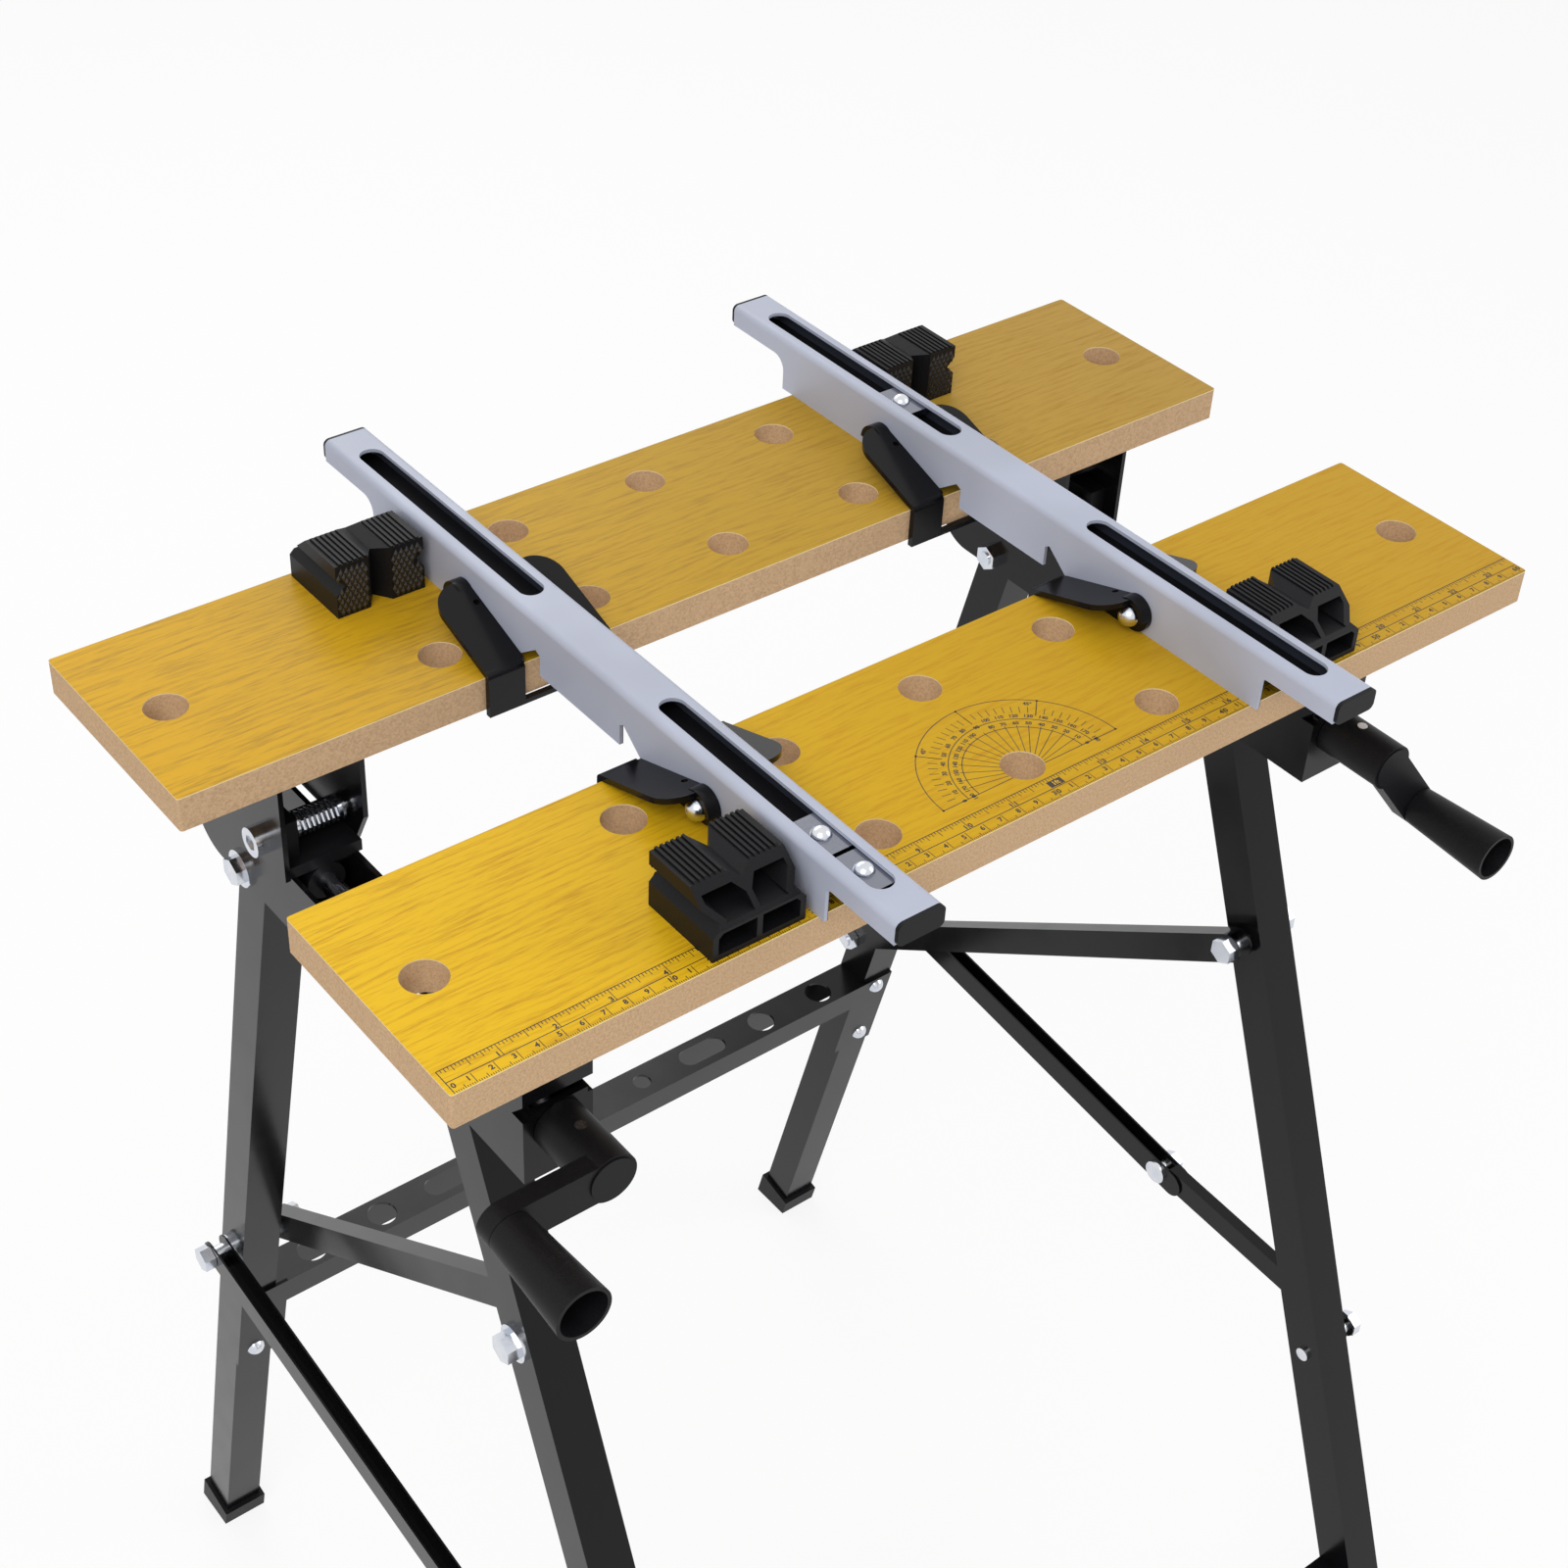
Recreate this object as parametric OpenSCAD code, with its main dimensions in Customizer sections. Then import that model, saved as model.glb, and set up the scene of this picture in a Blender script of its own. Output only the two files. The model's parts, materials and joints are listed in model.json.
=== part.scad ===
// Folding workbench: two wooden jaws carried by steel channels on four folding legs.
// One jaw is fixed and the other slides on two vise spindles with cranks.
// Four bench dogs stand in the jaws, and two slotted rails are clamped across the gap.
// X runs across the bench, +Y from the front jaw to the rear jaw, and Z is up.
// The origin is on the floor, in the middle of the rectangle that the feet cover.
// Places are given from the top face of the front jaw, at the middle of its front edge.

/* [Work surface] */
// Length of each jaw across the bench
jaw_len = 605; // [580:5:660]
// Width of each jaw from front to back
jaw_w = 119.3; // [112:0.1:128]
// Thickness of each jaw
jaw_t = 17.2; // [15:0.1:20]
// Gap between the two jaws
jaw_gap = 89; // [84:0.5:94]
// Height of the jaws above the floor
bench_h = 770; // [740:5:800]
// Bore of the dog holes
dog_hole_d = 19.8; // [19:0.1:20.6]
// Distance between dog holes along a jaw
hole_pitch = 80; // [74:0.5:82]
// Distance between the two rows of dog holes
row_pitch = 67.5; // [62:0.5:72]
// Distance from a jaw's front edge to its first row
row_inset = 26; // [24:0.5:30]
// Distance from a jaw's end to its end hole
end_inset = 26; // [22:0.5:32]
// Radius of the jaws' upright corners
jaw_corner_r = 1.5; // [0.5:0.1:3]

/* [Channels] */
// Distance from a jaw's end to the middle of the channel under it
channel_inset = 71.5; // [66:0.5:77]
// Outer width of a channel
channel_w = 34; // [32:0.5:37]
// Depth of a channel from its open top to its underside
channel_h = 35; // [34:0.5:37]
// Sheet thickness of the channels and brackets
channel_wall = 2.5; // [2:0.1:2.8]
// Distance from the jaws' top face down to a channel's open top
channel_drop = 79; // [74:0.5:84]
// Place of a channel's front end
channel_front = 38; // [36:0.5:42]
// Place of a channel's rear end
channel_rear = 316; // [306:1:326]
// Radius of the lower corner at a channel's rear end
channel_corner_r = 24; // [16:1:28]
// Length of the fixed jaw's bracket
front_bracket_len = 70; // [60:1:76]
// Chamfer at the foot of the fixed jaw's bracket
bracket_chamfer = 9; // [4:0.5:14]

/* [Vise] */
// Diameter of a spindle
spindle_d = 10; // [9:0.1:10.4]
// Distance from a channel's open top down to its spindle
spindle_down = 9; // [8.5:0.1:9.5]
// Diameter of a crank's hub
hub_d = 24; // [20:0.5:28]
// Thickness of a crank's arm
arm_t = 9; // [7:0.5:10]
// Height of a crank's arm
arm_h = 20; // [16:0.5:22]
// Distance from a spindle to the middle of its grip
arm_reach = 48; // [42:1:54]
// Length of a grip
grip_len = 50; // [44:1:60]
// Diameter of a grip at the crank's arm
grip_d = 20; // [18:0.5:22]
// Diameter of a grip at its free end
grip_end_d = 25.5; // [23:0.5:28]
// Outer width of the sliding jaw's carriage
carriage_w = 43; // [42:0.5:46]
// Length of the sliding jaw's carriage
carriage_len = 81; // [70:1:86]
// Wire diameter of the spring on the carriage bolt
spring_wire_d = 1.8; // [1.4:0.1:2]
// Distance between curls of that spring
spring_pitch = 2.4; // [2.3:0.05:2.8]

/* [Legs] */
// Width of the square leg tube
leg_w = 23; // [20:0.5:24]
// Wall of the square leg tube
leg_wall = 1.5; // [1.2:0.1:2]
// Place of the front legs' pivot
front_pivot_y = 109; // [104:1:114]
// Place of the rear legs' pivot
rear_pivot_y = 271; // [268:1:276]
// Height of both pivots above a channel's underside
pivot_up = 8; // [7:0.5:8.5]
// Place of the front feet
front_foot_y = -160; // [-175:1:-145]
// Place of the rear feet
rear_foot_y = 431; // [415:1:445]
// Width of a foot
foot_w = 28; // [27:0.5:28.5]
// Height of a foot
foot_h = 17; // [15:0.5:24]
// Length of a foot on the floor, from front to back
foot_len = 30; // [29:0.5:36]

/* [Links] */
// Width of the struts and the outer spreader halves
link_w = 10; // [9:0.5:11]
// Depth of a strut
strut_depth = 16.5; // [15:0.5:18]
// Sheet thickness of the links
link_wall = 1.1; // [0.9:0.1:1.3]
// Distance from the jaws' top down to the struts' rear pin
link_rear_drop = 442; // [430:1:455]
// Distance from the jaws' top down to the struts' front pin
strut_front_drop = 235; // [225:1:245]
// Distance from the jaws' top down to the spreaders' front pin
spreader_front_drop = 478; // [470:1:486]
// Distance from the jaws' top down to the spreaders' middle pin
knuckle_drop = 472; // [466:1:478]
// Place of the spreaders' middle pin
knuckle_y = 105; // [95:1:115]
// Depth of the outer spreader half
spreader_depth = 16; // [15:0.5:18]
// Length of the outer spreader half beyond the middle pin
spreader_past = 11.5; // [8:0.5:16]

/* [Cross members] */
// Depth of a cross member's front flange
cross_front_h = 23; // [18:0.5:28]
// Depth of a cross member's rear flange
cross_rear_h = 33; // [28:0.5:38]
// Distance along the rear legs from their pivot to the stretcher's top
stretcher_down = 392; // [384:1:400]
// Distance along the front legs from the floor up to the crossbar's top
crossbar_up = 157; // [140:1:180]
// Sheet thickness of the cross members
cross_wall = 2; // [1.5:0.1:2.5]
// Number of holes along the stretcher
stretcher_holes = 9; // [5:2:11]
// Distance between the stretcher's holes
stretcher_pitch = 47.4; // [40:0.1:50]
// Bore of the stretcher's large round holes
stretcher_hole_d = 17.5; // [14:0.5:19]
// Bore of the stretcher's small round holes
stretcher_small_d = 11.6; // [8:0.2:14]
// Width of the stretcher's long holes
stretcher_slot_w = 14; // [10:0.5:16]
// Length of the stretcher's long holes
stretcher_slot_len = 34; // [26:0.5:36]

/* [Rails] */
// Distance of each rail from the middle between the rails
rail_x = 122.3; // [115:0.1:124]
// Distance by which the pair of rails lies to the right of the bench's middle
rail_shift = 1.6; // [0:0.1:2.4]
// Outer width of a rail
rail_w = 23.6; // [22:0.1:26]
// Height of a rail above the jaws
rail_h = 28.5; // [27:0.1:30]
// Sheet thickness of a rail
rail_wall = 2; // [1.6:0.1:2.4]
// Outer radius of a rail's bends
rail_bend_r = 3; // [2.5:0.1:3.6]
// Length of a rail that reaches past the front jaw
rail_front_past = 44.7; // [40:0.1:50]
// Length of a rail that reaches past the rear jaw
rail_rear_past = 51; // [46:0.1:56]
// Depth of a rail's overhanging ends
rail_end_h = 11; // [10.5:0.1:12]
// Width of the slots along a rail's top
slot_w = 12; // [11:0.1:13]
// Length of the front slot
front_slot_len = 147; // [140:1:150]
// Length of the rear slot
rear_slot_len = 146.5; // [140:0.5:150]
// Distance from a rail's end to the end of its slot
slot_end = 17.7; // [16:0.1:20]

/* [Clamp levers] */
// Width of a clamp lever
lever_w = 20.4; // [18:0.2:21.4]
// Distance from a lever's pin to its hooked face
lever_reach = 46.8; // [43:0.1:50]
// Height of a lever's pin above the jaws
lever_pin_up = 9.5; // [9.4:0.05:10]
// Radius of a lever's round end
lever_end_r = 9; // [8:0.1:9.1]
// Sheet thickness of a lever
lever_t = 3; // [2.6:0.1:3.4]
// Depth of a lever's hook below the jaws' top face
hook_depth = 20; // [18:0.5:22]
// Length of a clamp plate in a slot
plate_len = 24.5; // [20:0.5:25]

/* [Bench dogs] */
// Width of a dog across the bench
dog_w = 45.5; // [42:0.5:48]
// Height of a dog above its jaw
dog_h = 28.5; // [26:0.5:32]
// Distance from a dog's peg to its working face
dog_front = 18.5; // [17:0.5:20]
// Distance from a dog's peg to its back
dog_back = 23.8; // [20:0.1:24.6]
// Depth of the grooves in a dog's sides
dog_groove = 4.5; // [3:0.5:6]
// Depth of the upright groove in a dog's working face
dog_vee = 8.5; // [6:0.5:10]
// Length of a dog's peg
dog_peg_len = 16.5; // [12:0.5:17]

/* [Hidden] */

// Overrun of the cutting shapes past the faces that they cut
cut = 1;
// Faces round a full circle on bores and shafts
round_faces = 48;
// Gap between two bodies that move against each other
clearance = 0.3;
// Radial clearance of a turning pin in its bore
pin_clearance = 0.05;

// Places of the channels and of the rear jaw, and the middle between the feet
channel_x = jaw_len / 2 - channel_inset;
rear_jaw_y = jaw_w + jaw_gap;
floor_z = -bench_h;
mid_y = (front_foot_y + rear_foot_y) / 2;

// Levels of the channels
channel_top = -channel_drop;
channel_bottom = channel_top - channel_h;
spindle_z = channel_top - spindle_down;
pivot_z = channel_bottom + pivot_up;

// Lean of the legs, as turns about X, and their length from pivot to floor
front_lean = atan2(front_foot_y - front_pivot_y, pivot_z - floor_z);
rear_lean = atan2(rear_foot_y - rear_pivot_y, pivot_z - floor_z);
front_leg_len = norm([front_foot_y - front_pivot_y, pivot_z - floor_z]);
rear_leg_len = norm([rear_foot_y - rear_pivot_y, pivot_z - floor_z]);
// Distance from the floor to the lower end of a leg tube, along the leg
tube_end = 9;

// Pins through the legs and links
pin_d = 8;
hex_d = 14.5;
hex_t = 6.5;
hex_faces = 6;
washer_d = 19;
washer_t = 2;
spacer_d = 10;

// Sides of the legs on which the links run: gap to the leg, then the link
link_gap = 3;
inner_link_x = leg_w / 2 + link_gap;
outer_link_x = -inner_link_x - link_w;
nested_gap = 0.2;
nested_w = link_w - 2 * link_wall - 2 * nested_gap;
nested_x = outer_link_x + (link_w - nested_w) / 2;
nested_below = 6.5;
nested_above = 8;

// Points of the linkage in the plane of the legs, as [y, z]
strut_rear = [front_or_rear_y(rear_pivot_y, rear_lean, -link_rear_drop), -link_rear_drop];
strut_front = [front_or_rear_y(front_pivot_y, front_lean, -strut_front_drop), -strut_front_drop];
spreader_front_pin = [
    front_or_rear_y(front_pivot_y, front_lean, -spreader_front_drop),
    -spreader_front_drop
];
knuckle = [knuckle_y, -knuckle_drop];

// Cranks: where the arm and grip lie along the spindle
arm_front = 0;
hub_back = channel_front - clearance;
crank_cover_step = 1.5;
crank_cover_d = hub_d - 2 * crank_cover_step;
crank_cover_t = 0.8;
bearing_t = 3;
bearing_up = 3;
bracket_slit = 2.2;
ring_d = 16;
ring_t = 1.6;
spindle_recess = 2;
spindle_front = arm_front + spindle_recess;
set_screw_d = 5;
set_screw_y = 22;
crank_pin_d = 8;
crank_pin_head_d = 13;
crank_pin_head_t = 2;
grip_wall = 1.8;
grip_hollow_len = 30;
left_crank_turn = 180;
right_crank_turn = 231;

// Carriage of the sliding jaw
carriage_inset = 10.7;
carriage_up = 2;
carriage_corner = 9;
carriage_y = rear_jaw_y + carriage_inset;
carriage_bottom = channel_top + carriage_up;
carriage_bolt_back = 18;
carriage_bolt_up = 16;
carriage_bolt_y = carriage_y + carriage_bolt_back;
carriage_bolt_z = channel_top + carriage_bolt_up;
carriage_bolt_d = 7;
carriage_bolt_head_d = 14.5;
carriage_bolt_head_t = 6.5;
// Distance from a spindle's rear end to the carriage's rear end
spindle_short = 10;
spindle_back = carriage_y + carriage_len - spindle_short;
nut_plate_t = 6;
nut_plate_len = 36;
nut_barrel_d = 19;
nut_barrel_len = 16;
nut_inset = 3;
nut_y = carriage_y + nut_inset;
nut_ear_h = 20;
nut_ear_len = 18;
nut_ear_w = 10;
spring_turns = 8;
spring_sides = 6;
spring_rings = 8;
spring_mean_r = 5.2;
spring_x = -4.5;
collar_t = 1.5;
socket_d = 8;
socket_deep = 1.4;

// Slots through the channel's floor for the legs
leg_slot_gap = 0.7;
leg_slot_w = leg_w + 2 * leg_slot_gap;
front_slot_before = 23;
front_slot_past = 106;
rear_slot_before = 15;
front_slot_y = front_pivot_y - front_slot_before;
front_slot_end = front_pivot_y + front_slot_past;
rear_slot_y = rear_pivot_y - rear_slot_before;

// Tabs of the stretcher on the legs, with their bolts as distances down from the stretcher's top
tab_h = 74;
tab_inner = 7;
tab_bolt_d = 6;
tab_bolt_head_d = 11;
tab_bolt_head_t = 4;
tab_bolt_places = [8, 62];

// Rail outline along Y
rail_front_y = -rail_front_past;
rail_rear_y = rear_jaw_y + jaw_w + rail_rear_past;
rail_deep_front = -3.6;
rail_deep_past = 8.3;
rail_deep_rear = rear_jaw_y + jaw_w + rail_deep_past;
rail_end_z = rail_h - rail_end_h;
rail_front_r = 3;
rail_step_r = 8;
// Notches that let the levers' bars swing up: where they start and peak, as distances into the gap
notch_h = 12;
notch_blunt = 1.5;
front_notch_start = -1.8;
front_notch_peak = 13.5;
front_notch_end = 16.2;
rear_notch_start = -7.7;
rear_notch_peak = 9;
rear_notch_end = 12.3;
cap_t = 2;
rear_cap_t = 1.5;
cap_plug = 8;
cap_gap = 0.2;
// Width between a rail's walls that its inner bends leave free
rail_inner_w = rail_w - 2 * rail_bend_r;
// Strip that closes a rail from below, under its slots
strip_t = 1.5;
front_slot_start = rail_front_y + slot_end;
rear_slot_start = rail_rear_y - slot_end - rear_slot_len;

// Levers
lever_cheek_t = 2.5;
lever_bend_up = 3;
lever_bar_h = 2.5;
lever_corner_r = 13;
lever_lip_w = 4;
lever_relief_d = 3;
lever_gap = 0.3;
// A lever in its own frame: how far its hook reaches, and the slope of its top
lever_hook = lever_reach + lever_t + clearance;
lever_bend_z = lever_bend_up - lever_pin_up;
lever_slope = atan2(lever_end_r - lever_bend_z, lever_hook - lever_t);
lever_bolt_d = 8;
lever_nut_d = 2 * ((lever_end_r - lever_t) * cos(lever_slope) - clearance);
lever_nut_t = 2.5;
front_lever_pin_y = jaw_w - lever_reach;
rear_lever_pin_y = rear_jaw_y + lever_reach;
plate_t = 3;
plate_screw_d = 9;
plate_screw_t = 3.6;
// Places of the clamp plates, from the ends of their slots
plate_a_past = 42;
plate_b_past = 15.3;
plate_c_past = 42.6;

// Dogs
dog_peg_gap = 0.05;
dog_divider_z = dog_h / 2;
dog_slope_len = 16.8;
dog_groove_z = 16.4;
dog_vee_half = 5.8;
dog_valley = 3.7;
dog_valley_half = 5.5;
dog_rib_pitch = 2.6;
dog_rib_h = 0.9;
dog_rim = 2.75;
dog_top_wall = 4;
dog_cell_depth = 23;

// Colours
wood_colour = [0.86, 0.68, 0.22];
black_paint = [0.09, 0.09, 0.1];
black_plastic = [0.06, 0.06, 0.065];
silver_paint = [0.74, 0.77, 0.84];
zinc = [0.8, 0.81, 0.83];

// Place along Y of a leg's middle line at level z
function front_or_rear_y(pivot_y, lean, z) = pivot_y - (z - pivot_z) * tan(lean);

// Moves places given from the front jaw's top edge to the bench's own frame
module placed() {
    translate([0, -mid_y, bench_h]) children();
}

// Draws one side's pieces about the middle of the left channel
module left_side() {
    translate([-channel_x, 0, 0]) children();
}

// The right side is the left side mirrored
module right_side() {
    mirror([1, 0, 0]) left_side() children();
}

module both_sides() {
    left_side() children();
    right_side() children();
}

// Turns a child drawn along +Z so that it runs along +X from the given place
module along_x(place) {
    translate(place) rotate([0, 90, 0]) children();
}

// Turns a child drawn along +Z so that it runs along +Y from the given place
module along_y(place) {
    translate(place) rotate([-90, 0, 0]) children();
}

// Sheet with its outline in the YZ plane, from x0 to x1
module slab_x(x0, x1) {
    translate([x0, 0, 0]) rotate([90, 0, 90]) linear_extrude(x1 - x0) children();
}

// Bar with its outline in the XZ plane, from y0 to y1
module slab_y(y0, y1) {
    translate([0, y1, 0]) rotate([90, 0, 0]) linear_extrude(y1 - y0) children();
}

module rod_x(x0, x1, y, z, d) {
    along_x([x0, y, z]) cylinder(d = d, h = x1 - x0, $fn = round_faces);
}

module rod_y(y0, y1, x, z, d) {
    along_y([x, y0, z]) cylinder(d = d, h = y1 - y0, $fn = round_faces);
}

module hex_x(x0, x1, y, z, d) {
    along_x([x0, y, z]) cylinder(d = d, h = x1 - x0, $fn = hex_faces);
}

// Low dome head that stands on a face and points along +Z
module dome_head(d, h) {
    ball_r = (d * d / 4 + h * h) / (2 * h);
    intersection() {
        translate([0, 0, h - ball_r]) sphere(r = ball_r, $fn = round_faces);
        cylinder(d = d, h = h, $fn = round_faces);
    }
}

// Rectangle with round corners
module round_rectangle(size, r) {
    translate([r, 0]) square([size.x - 2 * r, size.y]);
    translate([0, r]) square([size.x, size.y - 2 * r]);
    for (x = [r, size.x - r], y = [r, size.y - r]) translate([x, y]) circle(r = r, $fn = round_faces);
}

// Slot outline from the origin to a point further along +X, with round ends
module slot_shape(len, w) {
    translate([0, -w / 2]) square([len, w]);
    circle(d = w, $fn = round_faces);
    translate([len, 0]) circle(d = w, $fn = round_faces);
}

// Jaw: a board with two rows of dog holes and a hole at each end
module jaw_board() {
    difference() {
        translate([-jaw_len / 2, 0, -jaw_t]) linear_extrude(jaw_t)
            round_rectangle([jaw_len, jaw_w], jaw_corner_r);
        for (i = [-2 : 2], row = [0, 1])
            translate([i * hole_pitch, row_inset + row * row_pitch, -jaw_t - cut])
                cylinder(d = dog_hole_d, h = jaw_t + 2 * cut, $fn = round_faces);
        for (side = [-1, 1])
            translate([side * (jaw_len / 2 - end_inset), jaw_w / 2, -jaw_t - cut])
                cylinder(d = dog_hole_d, h = jaw_t + 2 * cut, $fn = round_faces);
    }
}

module front_jaw() {
    color(wood_colour) placed() jaw_board();
}

module rear_jaw() {
    color(wood_colour) placed() translate([0, rear_jaw_y, 0]) jaw_board();
}

// Outline of a sheet channel that is open upwards, about X = 0
module channel_section(w, h, wall) {
    difference() {
        translate([-w / 2, 0]) square([w, h]);
        translate([-w / 2 + wall, wall]) square([w - 2 * wall, h]);
    }
}

// Channel: open upwards, with slots in its floor for the legs and a bearing plate in front
module vise_channel() {
    difference() {
        union() {
            slab_y(channel_front, channel_rear)
                translate([0, channel_bottom]) channel_section(channel_w, channel_h, channel_wall);
            translate([-channel_w / 2 + channel_wall, channel_front, channel_bottom + channel_wall])
                cube([channel_w - 2 * channel_wall, bearing_t, channel_h - channel_wall + bearing_up]);
        }
        leg_slot(front_slot_y, front_slot_end);
        leg_slot(rear_slot_y, channel_rear + cut);
        rod_y(channel_front - cut, channel_front + bearing_t + cut, 0, spindle_z,
            spindle_d + 2 * pin_clearance);
        for (y = [front_pivot_y, rear_pivot_y])
            rod_x(-channel_w / 2 - cut, channel_w / 2 + cut, y, pivot_z, pin_d + 2 * pin_clearance);
        slab_x(-channel_w / 2 - cut, channel_w / 2 + cut)
            translate([channel_rear - channel_corner_r, channel_bottom]) difference() {
                translate([0, -cut]) square([channel_corner_r + cut, channel_corner_r + cut]);
                translate([0, channel_corner_r]) circle(r = channel_corner_r, $fn = round_faces);
            }
    }
}

module leg_slot(y0, y1) {
    translate([-leg_slot_w / 2, y0, channel_bottom - cut])
        cube([leg_slot_w, y1 - y0, channel_wall + 2 * cut]);
}

module channel_left() {
    color(black_paint) placed() left_side() vise_channel();
}

module channel_right() {
    color(black_paint) placed() right_side() vise_channel();
}

// Bracket of the fixed jaw: an upside-down channel that stands on the vise channel, closed in front
// by a plate that ends just above the bearing plate
module front_bracket() {
    h = channel_drop - jaw_t;
    plate_bottom = channel_top + bearing_up + bracket_slit;
    difference() {
        union() {
            slab_y(channel_front, channel_front + front_bracket_len)
                translate([0, -jaw_t]) mirror([0, 1]) channel_section(channel_w, h, channel_wall);
            translate([-channel_w / 2 + channel_wall, channel_front, plate_bottom])
                cube([channel_w - 2 * channel_wall, channel_wall, -jaw_t - plate_bottom]);
        }
        slab_x(-channel_w / 2 - cut, channel_w / 2 + cut) polygon([
            [channel_front - cut, channel_top - cut],
            [channel_front + bracket_chamfer, channel_top - cut],
            [channel_front, channel_top + bracket_chamfer],
            [channel_front - cut, channel_top + bracket_chamfer]
        ]);
    }
}

module front_bracket_left() {
    color(black_paint) placed() left_side() front_bracket();
}

module front_bracket_right() {
    color(black_paint) placed() right_side() front_bracket();
}

// Carriage of the sliding jaw: a wider upside-down channel, closed behind and bored for its cross
// bolt, with the lower front corner of its inner wall cut off
module carriage() {
    h = -jaw_t - carriage_bottom;
    back = carriage_y + carriage_len;
    difference() {
        union() {
            slab_y(carriage_y, back)
                translate([0, -jaw_t]) mirror([0, 1]) channel_section(carriage_w, h, channel_wall);
            slab_y(back - channel_wall, back)
                translate([-carriage_w / 2, carriage_bottom]) square([carriage_w, h]);
        }
        rod_x(-carriage_w / 2 - cut, carriage_w / 2 + cut, carriage_bolt_y, carriage_bolt_z,
            carriage_bolt_d + 2 * pin_clearance);
        slab_x(0, carriage_w) polygon([
            [carriage_y - cut, carriage_bottom - cut],
            [carriage_y + carriage_corner, carriage_bottom - cut],
            [carriage_y + carriage_corner, carriage_bottom],
            [carriage_y, carriage_bottom + 2 * carriage_corner],
            [carriage_y - cut, carriage_bottom + 2 * carriage_corner]
        ]);
    }
}

module carriage_left() {
    color(black_paint) placed() left_side() carriage();
}

module carriage_right() {
    color(black_paint) placed() right_side() carriage();
}

// Spindle with its retaining ring behind the bearing plate and its crank's set screw
module spindle() {
    rod_y(spindle_front, spindle_back, 0, spindle_z, spindle_d);
    rod_y(channel_front + bearing_t + clearance, channel_front + bearing_t + clearance + ring_t,
        0, spindle_z, ring_d);
}

// Set screw that holds the crank on its spindle, drawn apart from the spindle
module set_screw() {
    translate([0, set_screw_y, spindle_z + spindle_d / 2 + pin_clearance])
        cylinder(d = set_screw_d, h = (hub_d - spindle_d) / 2, $fn = round_faces);
}

module spindle_left() {
    color(zinc) placed() left_side() {
        spindle();
        set_screw();
    }
}

module spindle_right() {
    color(zinc) placed() right_side() {
        spindle();
        set_screw();
    }
}

// Crank: a hub, an arm with round ends and a pin that carries the grip
module crank(turn) {
    pin_end = arm_front - grip_len + grip_hollow_len;
    difference() {
        union() {
            rod_y(arm_front, hub_back, 0, spindle_z, hub_d);
            translate([0, 0, spindle_z]) rotate([0, -turn, 0]) {
                slab_y(arm_front, arm_front + arm_t) slot_shape(arm_reach, arm_h);
                rod_y(pin_end, arm_front + cut, arm_reach, 0, crank_pin_d);
                rod_y(pin_end - clearance - crank_pin_head_t, pin_end - clearance + cut,
                    arm_reach, 0, crank_pin_d);
                rod_y(pin_end - clearance - crank_pin_head_t, pin_end - clearance,
                    arm_reach, 0, crank_pin_head_d);
            }
            rod_y(arm_front - crank_cover_t, arm_front, 0, spindle_z, crank_cover_d);
        }
        rod_y(spindle_front - clearance, hub_back + cut, 0, spindle_z, spindle_d + 2 * pin_clearance);
        translate([0, set_screw_y, spindle_z])
            cylinder(d = set_screw_d + 2 * pin_clearance, h = hub_d, $fn = round_faces);
    }
}

module crank_left() {
    color(black_plastic) placed() left_side() crank(left_crank_turn);
}

module crank_right() {
    color(black_plastic) placed() right_side() crank(right_crank_turn);
}

// Grip that turns on the crank's pin, wider towards its hollow free end
module grip(turn) {
    free_end = arm_front - grip_len;
    taper = (grip_end_d - grip_d) / grip_len;
    hollow_d = grip_end_d - 2 * grip_wall;
    translate([0, 0, spindle_z]) rotate([0, -turn, 0]) translate([arm_reach, 0, 0]) difference() {
        along_y([0, free_end, 0])
            cylinder(d1 = grip_end_d, d2 = grip_d, h = grip_len - clearance, $fn = round_faces);
        rod_y(free_end, arm_front + cut, 0, 0, crank_pin_d + 2 * pin_clearance);
        along_y([0, free_end - cut, 0]) cylinder(
            d1 = hollow_d + taper * cut, d2 = hollow_d - taper * grip_hollow_len,
            h = grip_hollow_len + cut, $fn = round_faces
        );
    }
}

module grip_left() {
    color(black_plastic) placed() left_side() grip(left_crank_turn);
}

module grip_right() {
    color(black_plastic) placed() right_side() grip(right_crank_turn);
}

// Spindle nut: a plate that slides on the channel's walls, a barrel below and an ear for the bolt
module spindle_nut() {
    plate_w = carriage_w - 2 * channel_wall - 2 * pin_clearance;
    difference() {
        union() {
            translate([-plate_w / 2, nut_y, channel_top]) cube([plate_w, nut_plate_len, nut_plate_t]);
            rod_y(nut_y, nut_y + nut_barrel_len, 0, spindle_z, nut_barrel_d);
            translate([-plate_w / 2, carriage_bolt_y - nut_ear_len / 2, channel_top])
                cube([nut_ear_w, nut_ear_len, nut_plate_t + nut_ear_h]);
        }
        rod_y(nut_y - cut, nut_y + nut_barrel_len + cut, 0, spindle_z, spindle_d + 2 * pin_clearance);
        rod_x(-carriage_w / 2, 0, carriage_bolt_y, carriage_bolt_z, carriage_bolt_d + 2 * pin_clearance);
    }
}

module spindle_nut_left() {
    color(black_plastic) placed() left_side() spindle_nut();
}

module spindle_nut_right() {
    color(black_plastic) placed() right_side() spindle_nut();
}

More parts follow.
